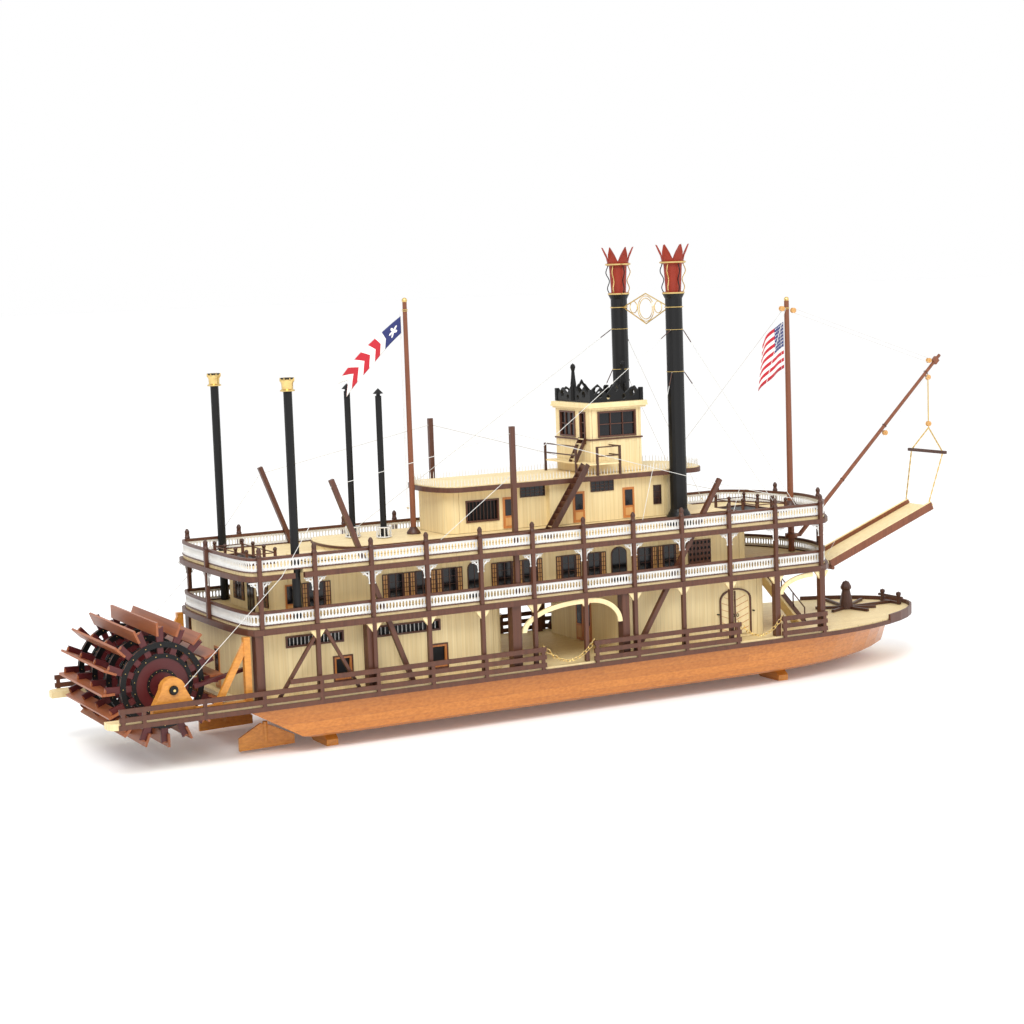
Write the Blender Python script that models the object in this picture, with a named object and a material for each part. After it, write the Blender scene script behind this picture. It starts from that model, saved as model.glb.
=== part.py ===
"""Sternwheel paddle boat: a wooden display model on its cradle.

Metres, +X to the bow, +Y to port, +Z up. The floor under the cradle is z = 0 and the keel line is y = 0.
The posts of the two upper decks stand one bay apart, and station 0 is the aftmost post of the straight sides.
"""

import math

import bmesh
import bpy
from mathutils import Matrix, Vector

BOAT_NAME = "sternwheel_paddle_boat"

# Driving dimensions along the hull
BAY = 0.0435
CENTRE_STATION = 5.335
GAP = 0.0003
BOTH_SIDES = (("starboard", -1), ("port", 1))

# Heights
HULL_BOTTOM = 0.0100
HULL_TOP = 0.0360
STRAKE_TOP = 0.0393
DECK_TOP = 0.0406
GUARD_RAIL_TOPS = (0.0445, 0.0504, 0.0563)
GUARD_RAIL_HEIGHT = 0.0034
BULWARK_TOP = 0.0438
BOILER_FASCIA = (0.0887, 0.0929)
BOILER_DECK = (0.0914, 0.0947)
BOILER_RAIL_TOP = 0.1049
HURRICANE_FASCIA = (0.1266, 0.1303)
HURRICANE_DECK = (0.1293, 0.1326)
HURRICANE_RAIL_TOP = 0.1428
FINIAL_TOP = 0.1505
PLATFORM_TOP = 0.1400
TEXAS_ROOF = (0.1725, 0.1768)
PILOT_ROOF = (0.2290, 0.2315)
WHEEL_AXIS_Z = 0.0583

# Half breadths
GUARD_HALF = 0.0785
HULL_HALF = 0.0750
POST_HALF = 0.0744
POST_SIDE = 0.0030
WALL = 0.0018
HOG_HALF = 0.0692
CHIMNEY_HALF = 0.0415
MAIN_HOUSE_HALF = 0.0590
SALOON_HALF = 0.0500
RUDDER_Y = 0.0420

# Stations in bays
ARM_END_STATION = -3.55
TRANSOM_STATION = -1.25
BOW_SHOULDER_STATION = 9.90
BOW_TIP_STATION = 13.15
WHEEL_STATION = -2.47
RUDDER_STATION = -0.70
CHIMNEY_STATION = 7.43
AFT_MAST_STATION = 2.58
GALLERY_STERN_STATION = -0.95
GALLERY_BOW_STATION = 9.96
GALLERY_STERN_DEPTH = 0.28 * BAY
GALLERY_BOW_DEPTH = 0.85 * BAY
GALLERY_BOW_POWER = 1.65
LAST_POST_STATION = 10
BULWARK_STATION = 11.42
TOP_RAIL_STATION = -0.55
GANGWAYS = ((4.15, 5.10), (8.15, 9.05))
MAST_STATION = 10.55

# A leaning bar's middle line starts this far above the deck, so that its lower corner stays clear
LEAN_LIFT = 0.0013

# Hog posts: station of the foot, station of the top, height of the top
HOG_POSTS = ((1.72, 0.40, 0.1930), (3.74, 3.74, 0.2215), (6.06, 7.90, 0.1690))

# Tall pipes at the stern: side, station, Y. The starboard one breaks the edge of the hurricane deck
TALL_PIPES = (("starboard", -0.27, -0.0679), ("port", -0.38, 0.0670))

# Boom and landing stage
BOOM_HEEL_STATION, BOOM_HEEL_HEIGHT = 10.74, 0.1080
BOOM_HEAD_STATION, BOOM_HEAD_HEIGHT = 14.20, 0.2510
STAGE_HEEL_STATION, STAGE_HEEL_HEIGHT = 11.22, 0.0800
STAGE_TIP_STATION, STAGE_TIP_HEIGHT = 13.70, 0.1205
STAGE_HALF = 0.0165
BRIDLE_TOP = 0.1890
SPREADER_Z = 0.1690
CAPSTAN_STATION = 11.82
# Angle and reach of each deck timber round the capstan
CAPSTAN_TIMBERS = (
    (0, 0.0480), (-32, 0.0250), (-80, 0.0250), (36, 0.0440), (76, 0.0470), (150, 0.0260), (205, 0.0240),
)

# Paddle wheel
ARM_COUNT = 16
WHEEL_RADIUS = 0.0440
WHEEL_HALF_LENGTH = 0.0520
WHEEL_FRAME_PLACES = (-0.0490, -0.0165, 0.0165, 0.0490)
WHEEL_FRAME_THICKNESS = 0.0016
HUB_RADIUS = 0.0160
RING_RADII = (0.0265, 0.0300)
SHAFT_RADIUS = 0.0026
SHAFT_HALF_LENGTH = 0.0745


def station(bays):
    """X of a place given in bays from post 0."""
    return (bays - CENTRE_STATION) * BAY


def keel_point(bays, height):
    """A point over the keel line."""
    return Vector((station(bays), 0.0, height))


def clear_scene():
    for old in list(bpy.data.objects):
        bpy.data.objects.remove(old, do_unlink=True)


def make_collection(name, hidden=False):
    collection = bpy.data.collections.new(name)
    bpy.context.scene.collection.children.link(collection)
    collection.hide_render = hidden
    return collection


def make_material(name, colour, roughness, metallic=0.0):
    material = bpy.data.materials.new(name)
    material.use_nodes = True
    shader = material.node_tree.nodes["Principled BSDF"]
    shader.inputs["Base Color"].default_value = (*colour, 1.0)
    shader.inputs["Roughness"].default_value = roughness
    shader.inputs["Metallic"].default_value = metallic
    material.diffuse_color = (*colour, 1.0)
    return material


clear_scene()
BOAT = make_collection(BOAT_NAME)
PIECES = make_collection("joined_pieces", hidden=True)

HULL_WOOD = make_material("hull_wood", (0.62, 0.27, 0.06), 0.35)
DECK_WOOD = make_material("deck_wood", (0.83, 0.70, 0.45), 0.55)
TRIM_WOOD = make_material("trim_wood", (0.22, 0.07, 0.03), 0.45)
DARK_WOOD = make_material("dark_wood", (0.05, 0.025, 0.015), 0.5)
BLADE_WOOD = make_material("blade_wood", (0.42, 0.15, 0.06), 0.45)
ARM_RED = make_material("arm_red", (0.20, 0.02, 0.02), 0.4)
DOOR_WOOD = make_material("door_wood", (0.55, 0.22, 0.04), 0.4)
SATIN_BLACK = make_material("satin_black", (0.01, 0.01, 0.01), 0.35)
WHITE_METAL = make_material("white_metal", (0.80, 0.79, 0.75), 0.4)
BRASS = make_material("brass", (0.75, 0.52, 0.18), 0.25, metallic=1.0)
FLAG_CLOTH = make_material("flag_cloth", (0.55, 0.05, 0.07), 0.8)


# Shapes

def add_node(name, data, material=None):
    """An object of the boat, with its own material."""
    node = bpy.data.objects.new(name, data)
    if material:
        data.materials.append(material)
    BOAT.objects.link(node)
    return node


def mesh_from(build):
    mesh = bpy.data.meshes.new("shape")
    build.to_mesh(mesh)
    build.free()
    return mesh


def box_mesh(low, high):
    build = bmesh.new()
    bmesh.ops.create_cube(build, size=1.0)
    size = [h - l for l, h in zip(low, high)]
    middle = [(l + h) / 2 for l, h in zip(low, high)]
    bmesh.ops.scale(build, vec=size, verts=build.verts)
    bmesh.ops.translate(build, vec=middle, verts=build.verts)
    return mesh_from(build)


def turn_onto(start, end):
    """The matrix that stands a piece built along Z, centred, on the line from start to end."""
    start, end = Vector(start), Vector(end)
    turn = (end - start).to_track_quat("Z", "Y").to_matrix().to_4x4()
    return Matrix.Translation((start + end) / 2) @ turn


def bar_mesh(start, end, width, depth):
    """A squared bar from start to end."""
    build = bmesh.new()
    length = (Vector(end) - Vector(start)).length
    bmesh.ops.create_cube(build, size=1.0)
    bmesh.ops.scale(build, vec=(width, depth, length), verts=build.verts)
    bmesh.ops.transform(build, matrix=turn_onto(start, end), verts=build.verts)
    return mesh_from(build)


def rod_mesh(start, end, radius, end_radius=None, sides=8):
    """A round rod or spar from start to end, tapered if end_radius is given."""
    build = bmesh.new()
    length = (Vector(end) - Vector(start)).length
    bmesh.ops.create_cone(
        build, cap_ends=True, segments=sides, radius1=radius,
        radius2=end_radius or radius, depth=length,
    )
    bmesh.ops.transform(build, matrix=turn_onto(start, end), verts=build.verts)
    return mesh_from(build)


def outline_curve(name, outlines):
    curve = bpy.data.curves.new(name, "CURVE")
    curve.dimensions = "2D"
    curve.fill_mode = "BOTH"
    for points in outlines:
        spline = curve.splines.new("POLY")
        spline.points.add(len(points) - 1)
        for point, (x, y) in zip(spline.points, points):
            point.co = (x, y, 0, 1)
        spline.use_cyclic_u = True
    return curve


def outline_mesh(outlines, thickness, matrix):
    """Flat outlines, the later ones holes, given a thickness and moved by the matrix."""
    curve = outline_curve("outline", outlines)
    curve.extrude = thickness / 2
    guide = bpy.data.objects.new("outline", curve)
    PIECES.objects.link(guide)
    graph = bpy.context.evaluated_depsgraph_get()
    mesh = bpy.data.meshes.new_from_object(guide.evaluated_get(graph))
    bpy.data.objects.remove(guide)
    bpy.data.curves.remove(curve)
    build = bmesh.new()
    build.from_mesh(mesh)
    bpy.data.meshes.remove(mesh)
    bmesh.ops.remove_doubles(build, verts=build.verts, dist=1e-6)
    bmesh.ops.transform(build, matrix=matrix, verts=build.verts)
    bmesh.ops.recalc_face_normals(build, faces=build.faces)
    return mesh_from(build)


def plate_mesh(outlines, low, high):
    """A level plate of the given plan outlines."""
    return outline_mesh(outlines, high - low, Matrix.Translation((0, 0, (low + high) / 2)))


def upright_mesh(outlines, y_low, y_high):
    """A plate drawn in X and Z, standing between two Y."""
    matrix = Matrix.Translation((0, (y_low + y_high) / 2, 0)) @ Matrix.Rotation(math.pi / 2, 4, "X")
    return outline_mesh(outlines, y_high - y_low, matrix)


def athwart_mesh(outlines, x_low, x_high):
    """A plate drawn in Y and Z, standing between two X."""
    turn = Matrix(((0, 0, 1, 0), (1, 0, 0, 0), (0, 1, 0, 0), (0, 0, 0, 1)))
    return outline_mesh(outlines, x_high - x_low, Matrix.Translation(((x_low + x_high) / 2, 0, 0)) @ turn)


def turned_mesh(profile, centre, steps=20):
    """A turned shape from its (radius, height) profile, listed from the top down its outer side."""
    build = bmesh.new()
    points = [build.verts.new((radius, 0, height)) for radius, height in profile]
    edges = [build.edges.new(pair) for pair in zip(points, points[1:])]
    bmesh.ops.spin(
        build, geom=points + edges, cent=(0, 0, 0), axis=(0, 0, 1),
        angle=2 * math.pi, steps=steps, use_merge=True,
    )
    bmesh.ops.remove_doubles(build, verts=build.verts, dist=1e-6)
    bmesh.ops.translate(build, vec=centre, verts=build.verts)
    bmesh.ops.recalc_face_normals(build, faces=build.faces)
    return mesh_from(build)


def joined_node(name, meshes, material):
    """One closed body from overlapping meshes, by a Boolean union."""
    node = add_node(name, meshes[0], material)
    group = bpy.data.collections.new(name + "_pieces")
    group.hide_render = True
    PIECES.children.link(group)
    for index, mesh in enumerate(meshes[1:]):
        piece = bpy.data.objects.new(f"{name}_piece_{index}", mesh)
        piece.hide_render = True
        piece.display_type = "WIRE"
        group.objects.link(piece)
    union = node.modifiers.new("join", "BOOLEAN")
    union.operation = "UNION"
    union.operand_type = "COLLECTION"
    union.collection = group
    return node


def cut_from(node, name, mesh):
    """Cuts a hidden shape out of a node."""
    cutter = bpy.data.objects.new(name, mesh)
    cutter.hide_render = True
    cutter.display_type = "WIRE"
    PIECES.objects.link(cutter)
    cut = node.modifiers.new(name, "BOOLEAN")
    cut.operation = "DIFFERENCE"
    cut.object = cutter


def rectangle(x_low, x_high, y_low, y_high):
    return [(x_low, y_low), (x_high, y_low), (x_high, y_high), (x_low, y_high)]


def arched(x_low, x_high, foot, top, steps=6):
    """An opening with a half-round head."""
    radius = (x_high - x_low) / 2
    middle = (x_low + x_high) / 2
    head = [
        (middle + radius * math.cos(turn), top - radius + radius * math.sin(turn))
        for turn in (math.pi * step / steps for step in range(steps + 1))
    ]
    return [(x_low, foot), (x_high, foot)] + head


def circle(x, y, radius, sides=10):
    return [
        (x + radius * math.cos(2 * math.pi * side / sides), y + radius * math.sin(2 * math.pi * side / sides))
        for side in range(sides)
    ]


def rounded_end(start_x, depth, half, power, steps):
    """Half of a superellipse in plan, from -half to +half, as (x, y)."""
    points = []
    for step in range(steps + 1):
        turn = math.pi * (step / steps - 0.5)
        across = math.copysign(abs(math.sin(turn)) ** (2 / power), turn)
        along = abs(math.cos(turn)) ** (2 / power)
        points.append((start_x + depth * along, half * across))
    return points


def gallery_outline(half, grow=0.0):
    """Plan of the two upper decks: straight sides, a full bow and a nearly straight rounded stern."""
    bow = rounded_end(station(GALLERY_BOW_STATION), GALLERY_BOW_DEPTH + grow, half, GALLERY_BOW_POWER, 12)
    stern = rounded_end(-station(GALLERY_STERN_STATION), GALLERY_STERN_DEPTH + grow, half, 3.2, 12)
    return bow + [(-x, -y) for x, y in stern]


def main_deck_side(half, grow=0.0):
    """Starboard to port round the bow of the main deck."""
    shoulder = station(BOW_SHOULDER_STATION)
    depth = station(BOW_TIP_STATION) - shoulder + grow
    return rounded_end(shoulder, depth, half, 1.9, 20)


# Hull and cradle

def hull_level(z, half, stern, stem, fullness):
    """One level of the hull as points from the stern to the stem, starboard side."""
    shoulder = station(8.2)
    points = [(stern, -half), (shoulder, -half)]
    for step in range(1, 9):
        share = step / 8
        x = shoulder + (stem - shoulder) * share
        y = -(half * (1 - share ** fullness) + 0.0010 * share)
        points.append((x, y))
    return [Vector((x, y, z)) for x, y in points]


def build_hull():
    levels = (
        hull_level(HULL_BOTTOM, 0.0640, station(-0.05), station(12.62), 2.6),
        hull_level(HULL_BOTTOM + 0.0030, 0.0705, station(-0.30), station(12.66), 2.7),
        hull_level(HULL_TOP - GAP, HULL_HALF, station(-1.22), station(12.86), 3.0),
    )
    build = bmesh.new()
    loops = []
    for level in levels:
        around = level + [Vector((p.x, -p.y, p.z)) for p in reversed(level)]
        loops.append([build.verts.new(point) for point in around])
    for lower, upper in zip(loops, loops[1:]):
        for index in range(len(lower)):
            following = (index + 1) % len(lower)
            build.faces.new((lower[index], lower[following], upper[following], upper[index]))
    build.faces.new(loops[0])
    build.faces.new(loops[-1])
    bmesh.ops.recalc_face_normals(build, faces=build.faces)
    add_node("hull", mesh_from(build), HULL_WOOD)


def build_cradle():
    """Two shaped blocks that the hull stands in."""
    for name, place in (("aft", 0.35), ("fore", 9.4)):
        x = station(place)
        side = 0.0560
        outline = [
            (-side, 0), (-side + 0.026, 0), (-side + 0.034, 0.0045), (side - 0.034, 0.0045), (side - 0.026, 0),
            (side, 0), (side, 0.0045), (side - 0.007, HULL_BOTTOM - GAP), (-side + 0.007, HULL_BOTTOM - GAP),
            (-side, 0.0045),
        ]
        add_node(f"cradle_{name}", athwart_mesh([outline], x - 0.0045, x + 0.0045), DOOR_WOOD)


def build_rudders():
    """Two balanced rudders under the raked stern, each with its stock in the middle of the blade."""
    for side, sign in BOTH_SIDES:
        y = sign * RUDDER_Y
        x = station(RUDDER_STATION)
        outline = [
            (x - 0.0204, 0.0020), (x + 0.0217, 0.0028), (x + 0.0217, 0.0092), (x + 0.0040, 0.0182),
            (x - 0.0035, 0.0205), (x - 0.0204, 0.0112),
        ]
        blade = upright_mesh([outline], y - 0.0011, y + 0.0011)
        stock = rod_mesh((x, y, 0.0070), (x, y, 0.0213), 0.0020)
        joined_node(f"rudder_{side}", [blade, stock], HULL_WOOD)


# Main deck

def build_main_deck():
    inset = 0.0014
    half = GUARD_HALF - inset
    arm_inner = 0.0640
    arm_end = station(ARM_END_STATION)
    transom = station(TRANSOM_STATION)
    corner = 0.006
    outline = main_deck_side(half, -inset) + [
        (arm_end + corner, half), (arm_end + 0.0018, half - 0.0018), (arm_end, half - corner),
        (arm_end, arm_inner), (transom, arm_inner),
        (transom, -arm_inner), (arm_end, -arm_inner),
        (arm_end, -half + corner), (arm_end + 0.0018, -half + 0.0018), (arm_end + corner, -half),
    ]
    add_node("main_deck", plate_mesh([outline], HULL_TOP, DECK_TOP), DECK_WOOD)


def offset_run(points, distance):
    """The points moved sideways, to the right of their direction."""
    moved = []
    for index, (x, y) in enumerate(points):
        before = Vector(points[max(index - 1, 0)])
        after = Vector(points[min(index + 1, len(points) - 1)])
        along = (after - before).normalized()
        moved.append((x + along.y * distance, y - along.x * distance))
    return moved


def run_band(points, thickness, low, high):
    """A thin upright strip along an open run of plan points, growing to its right."""
    outer = offset_run(points, thickness)
    return plate_mesh([points + outer[::-1]], low, high)


def build_guard():
    """The strake round the deck's edge, with the side rails, their short posts and the bow bulwark."""
    face = GUARD_HALF - 0.0014 + GAP
    tail = station(ARM_END_STATION) + 0.006
    bow = main_deck_side(face, GAP - 0.0014)
    meshes = [run_band([(tail, -face)] + bow + [(tail, face)], 0.0015, HULL_TOP, STRAKE_TOP)]
    raised = [(x, y) for x, y in bow if x > station(BULWARK_STATION)]
    meshes.append(run_band(raised, 0.0018, HULL_TOP + 0.0010, BULWARK_TOP))
    rail_runs = (
        (ARM_END_STATION + 0.15, GANGWAYS[0][0]), (GANGWAYS[0][1], GANGWAYS[1][0]), (GANGWAYS[1][1], 10.05),
    )
    for _, sign in BOTH_SIDES:
        y_low, y_high = sorted((sign * face, sign * (face + 0.0016)))
        for run_start, run_end in rail_runs:
            for level, top in enumerate(GUARD_RAIL_TOPS):
                start = max(run_start, TOP_RAIL_STATION) if level == 2 else run_start
                low = (station(start), y_low, top - GUARD_RAIL_HEIGHT)
                meshes.append(box_mesh(low, (station(run_end), y_high, top)))
            numbers = range(math.ceil(run_start + 0.3), math.floor(run_end - 0.3) + 1)
            for place in [run_start + 0.06, run_end - 0.06, *numbers]:
                top = GUARD_RAIL_TOPS[2 if place > TOP_RAIL_STATION else 1]
                x = station(place)
                low = (x - 0.0014, y_low + 0.0002, STRAKE_TOP - 0.0010)
                meshes.append(box_mesh(low, (x + 0.0014, y_high - 0.0002, top - 0.0008)))
    joined_node("guard", meshes, TRIM_WOOD)


def hog_bars(grow=0.0):
    """The hog posts of both sides, which stand on the main deck and rise through both decks above."""
    bars = []
    for _, sign in BOTH_SIDES:
        y = sign * HOG_HALF
        for foot_place, top_place, top in HOG_POSTS:
            start = (station(foot_place), y, DECK_TOP + LEAN_LIFT)
            end = (station(top_place), y, top)
            bars.append(bar_mesh(start, end, 0.0036 + grow, 0.0034 + grow))
    return bars


def fascia_ring(low, high):
    """The band round an upper deck's edge, as thick as the posts."""
    out, inside = POST_HALF + POST_SIDE / 2, POST_HALF - POST_SIDE / 2
    return plate_mesh([gallery_outline(out, POST_SIDE / 2), gallery_outline(inside, -POST_SIDE / 2)], low, high)


def build_deck_posts():
    """The boiler deck's fascia with the posts, columns, struts and hog posts that carry it."""
    meshes = [fascia_ring(*BOILER_FASCIA)]
    half = POST_SIDE / 2
    foot = DECK_TOP + GAP
    head = BOILER_FASCIA[0] + 0.0012
    for _, sign in BOTH_SIDES:
        outer = sign * (POST_HALF + half - 0.0001)
        for number in range(LAST_POST_STATION + 1):
            side = POST_SIDE * (1.6 if number >= 9 else 1.0)
            y_low, y_high = sorted((outer, outer - sign * side))
            x = station(number)
            meshes.append(box_mesh((x - side / 2, y_low, foot), (x + side / 2, y_high, head)))
        y_low, y_high = sorted((sign * 0.0662, sign * 0.0738))
        for place, width in ((-1.0, 0.0060), (0.95, 0.0060), (3.66, 0.0075), (5.82, 0.0060)):
            x = station(place)
            meshes.append(box_mesh((x - width / 2, y_low, foot), (x + width / 2, y_high, head)))
        for top_place, foot_place in ((0.05, -0.72), (0.12, 0.72)):
            start = (station(foot_place), sign * 0.0735, DECK_TOP + LEAN_LIFT)
            meshes.append(bar_mesh(start, (station(top_place), sign * 0.0735, head), 0.0026, 0.0022))
        for foot_place, top_place, top in HOG_POSTS:
            share = (BOILER_FASCIA[0] - foot) / (top - foot)
            x = station(foot_place + (top_place - foot_place) * share)
            y_low, y_high = sorted((sign * (HOG_HALF - 0.0005), sign * (POST_HALF - 0.0005)))
            low = (x - 0.0020, y_low, BOILER_FASCIA[0])
            meshes.append(box_mesh(low, (x + 0.0020, y_high, BOILER_DECK[0] - GAP)))
    joined_node("boiler_deck_frame", meshes + hog_bars(), TRIM_WOOD)


def build_deck_plates():
    """The boards of the two upper decks, with the holes that the hog posts pass through."""
    half = POST_HALF - POST_SIDE / 2 - GAP
    for name, (low, high) in (("boiler_deck", BOILER_DECK), ("hurricane_deck", HURRICANE_DECK)):
        node = add_node(name, plate_mesh([gallery_outline(half, -POST_SIDE / 2 - GAP)], low, high), DECK_WOOD)
        for index, mesh in enumerate(hog_bars(grow=2 * GAP)):
            cut_from(node, f"{name}_hole_{index}", mesh)
        if name == "hurricane_deck":
            for _, place, y in TALL_PIPES:
                cut_pipe_notch(node, place, y)
            x = station(MAST_STATION)
            cut_from(node, "mast_hole", rod_mesh((x, 0, low - 0.005), (x, 0, high + 0.005), 0.0031, sides=12))


def gallery_posts():
    """Plan places of the upper decks' posts."""
    places = [(station(number), sign * POST_HALF) for number in range(LAST_POST_STATION + 1) for sign in (-1, 1)]
    bow_post_y = 0.70 * BAY
    share = (1 - (bow_post_y / POST_HALF) ** GALLERY_BOW_POWER) ** (1 / GALLERY_BOW_POWER)
    stern = station(GALLERY_STERN_STATION) - GALLERY_STERN_DEPTH
    bow_post_x = station(GALLERY_BOW_STATION) + GALLERY_BOW_DEPTH * share
    places += [(bow_post_x, sign * bow_post_y) for sign in (-1, 1)]
    places += [(station(GALLERY_STERN_STATION), sign * POST_HALF) for sign in (-1, 1)]
    return places + [(stern, 0.0)]


def build_gallery_frame():
    """The hurricane deck's fascia and the posts that rise through it from the boiler deck to their finials."""
    meshes = [fascia_ring(*HURRICANE_FASCIA)]
    half = POST_SIDE / 2 - 0.0001
    foot = BOILER_FASCIA[1] + GAP
    for x, y in gallery_posts():
        meshes.append(box_mesh((x - half, y - half, foot), (x + half, y + half, HURRICANE_RAIL_TOP + 0.0006)))
        base = HURRICANE_RAIL_TOP
        profile = [(0, FINIAL_TOP), (0.0012, FINIAL_TOP - 0.0012), (0.0019, base + 0.0028), (0.0013, base)]
        meshes.append(turned_mesh(profile + [(0, base)], (x, y, 0), steps=4))
    cut_pipe_notch(joined_node("gallery_frame", meshes, TRIM_WOOD), *TALL_PIPES[0][1:])


def build_balustrade(name, floor, top):
    """A band of rails and balusters just inside the posts."""
    outer = POST_HALF - POST_SIDE / 2 - 0.0004
    inner = outer - 0.0010
    shift_out = outer - POST_HALF
    shift_in = inner - POST_HALF
    rings = [gallery_outline(outer, shift_out), gallery_outline(inner, shift_in)]
    foot = floor + 0.0010
    meshes = [plate_mesh(rings, foot, foot + 0.0016), plate_mesh(rings, top - 0.0020, top)]
    middle = (outer + inner) / 2
    half = 0.0012
    for number in range(LAST_POST_STATION):
        x = station(number + 0.5)
        for sign in (-1, 1):
            y = sign * middle
            low = (x - half, y - 0.0004, foot + 0.0008)
            meshes.append(box_mesh(low, (x + half, y + 0.0004, top - 0.0010)))
    outline = gallery_outline(middle, (shift_out + shift_in) / 2)
    for x, y in outline[::3]:
        if abs(y) < middle * 0.93:
            meshes.append(box_mesh((x - 0.0004, y - half, foot + 0.0008), (x + 0.0004, y + half, top - 0.0010)))
    return joined_node(name, meshes, WHITE_METAL)


# Wheel

def polar(radius, angle):
    return (radius * math.cos(angle), radius * math.sin(angle))


def wheel_frame_outlines():
    """One spider: hub disc, arms out to the blades and a ring, drawn about the axis."""
    half_arm = 0.0017
    tip = WHEEL_RADIUS - 0.0030
    outer = []
    windows = []
    for number in range(ARM_COUNT):
        angle = 2 * math.pi * number / ARM_COUNT
        following = angle + 2 * math.pi / ARM_COUNT
        spread = math.asin(half_arm / RING_RADII[1])
        for distance, sign in ((RING_RADII[1], -1), (tip, -1), (tip, 1), (RING_RADII[1], 1)):
            lean = math.asin(half_arm / distance) * sign
            outer.append(polar(distance, angle + lean))
        outer.append(polar(RING_RADII[1], (angle + following) / 2))
        window = []
        for distance in (HUB_RADIUS, RING_RADII[0]):
            lean = math.asin(half_arm / distance)
            ends = [polar(distance, angle + lean), polar(distance, following - lean)]
            window += ends if distance == HUB_RADIUS else ends[::-1]
        windows.append(window)
    bore = circle(0, 0, SHAFT_RADIUS + GAP, 12)
    return [outer] + windows + [bore]


def build_wheel():
    """Spiders and blades joined as one body, on a shaft that turns in the two bearings."""
    x = station(WHEEL_STATION)
    outlines = [[(x + u, WHEEL_AXIS_Z + v) for u, v in outline] for outline in wheel_frame_outlines()]
    spiders = [
        upright_mesh(outlines, y - WHEEL_FRAME_THICKNESS / 2, y + WHEEL_FRAME_THICKNESS / 2)
        for y in WHEEL_FRAME_PLACES
    ]
    blades = []
    for number in range(ARM_COUNT):
        angle = 2 * math.pi * number / ARM_COUNT
        blade = bmesh.new()
        bmesh.ops.create_cube(blade, size=1.0)
        bmesh.ops.scale(blade, vec=(0.0095, 2 * WHEEL_HALF_LENGTH, 0.0016), verts=blade.verts)
        bmesh.ops.translate(blade, vec=(WHEEL_RADIUS - 0.00475, 0, 0.0022), verts=blade.verts)
        turn = Matrix.Translation((x, 0, WHEEL_AXIS_Z)) @ Matrix.Rotation(-angle, 4, "Y")
        bmesh.ops.transform(blade, matrix=turn, verts=blade.verts)
        blades.append(mesh_from(blade))
    joined_node("paddle_wheel", spiders + blades, BLADE_WOOD)
    ends = ((x, -SHAFT_HALF_LENGTH, WHEEL_AXIS_Z), (x, SHAFT_HALF_LENGTH, WHEEL_AXIS_Z))
    add_node("wheel_shaft", rod_mesh(*ends, SHAFT_RADIUS, sides=16), SATIN_BLACK)


def build_wheel_supports():
    """On each arm, a bored block for the shaft joined by a sole plank to the brace against the house."""
    x = station(WHEEL_STATION)
    foot = DECK_TOP + GAP
    sole = foot + 0.0030
    bore_radius = (SHAFT_RADIUS + 0.00007) / math.cos(math.pi / 16)
    bore = circle(x, WHEEL_AXIS_Z, bore_radius, 16)
    head = [
        (x + 0.0088 * math.cos(turn), WHEEL_AXIS_Z + 0.0088 * math.sin(turn))
        for turn in (math.pi * step / 8 for step in range(9))
    ]
    block = [(x - 0.0150, foot), (x + 0.0150, foot), (x + 0.0150, foot + 0.0060)]
    block += head + [(x - 0.0150, foot + 0.0060)]
    corner = station(-1.14)
    top = BOILER_FASCIA[0] - GAP
    for side, sign in BOTH_SIDES:
        y_low, y_high = sorted((sign * 0.0665, sign * 0.0735))
        y = sign * 0.0700
        meshes = [
            upright_mesh([block, bore], y_low, y_high),
            box_mesh((x + 0.0100, y_low + 0.0004, foot), (corner, y_high - 0.0004, sole)),
            bar_mesh((corner - 0.0260, y, foot + 0.0020), (corner - 0.0022, y, top - 0.0030), 0.0030, 0.0046),
            box_mesh((corner - 0.0050, y - 0.0021, foot + 0.0010), (corner - 0.0002, y + 0.0021, top)),
        ]
        joined_node(f"wheel_support_{side}", meshes, DOOR_WOOD)
        rod_y = sign * 0.0585
        rod = bar_mesh((station(-2.02), rod_y, 0.0560), (station(-1.16), rod_y, 0.0640), 0.0042, 0.0024)
        add_node(f"connecting_rod_{side}", rod, ARM_RED)


# Houses

def wall_run(points, low, high):
    """An upright wall along an open run of plan points, centred on them."""
    outer = offset_run(points, WALL / 2)
    inner = offset_run(points, -WALL / 2)
    return plate_mesh([inner + outer[::-1]], low, high)


def rounded_wall(x_face, x_back, half, radius, low, high):
    """An end wall from side to side whose corners turn back along the sides as far as x_back."""
    step_x = 1 if x_face > x_back else -1
    points = []
    for sign in (-1, 1):
        corner = [
            (x_face - step_x * radius * (1 - math.cos(turn)), sign * (half - radius + radius * math.sin(turn)))
            for turn in (math.pi / 2 * step / 5 for step in range(6))
        ]
        run = [(x_back, sign * half)] + corner[::-1]
        points += run if sign < 0 else run[::-1]
    return wall_run(points, low, high)


def build_house(name, stern, bow, half, low, high, side_openings=(), radius=0.007):
    """Four walls: flat sides with their openings, and end walls with rounded corners."""
    tail = stern + radius + 0.001
    nose = bow - radius - 0.001
    add_node(f"{name}_aft_wall", rounded_wall(stern, tail, half, radius, low, high), DECK_WOOD)
    add_node(f"{name}_fore_wall", rounded_wall(bow, nose, half, radius, low, high), DECK_WOOD)
    for side, sign in BOTH_SIDES:
        y_pair = sorted((sign * (half - WALL / 2), sign * (half + WALL / 2)))
        outlines = [rectangle(tail + GAP, nose - GAP, low, high)] + list(side_openings)
        add_node(f"{name}_{side}_wall", upright_mesh(outlines, *y_pair), DECK_WOOD)


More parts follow.
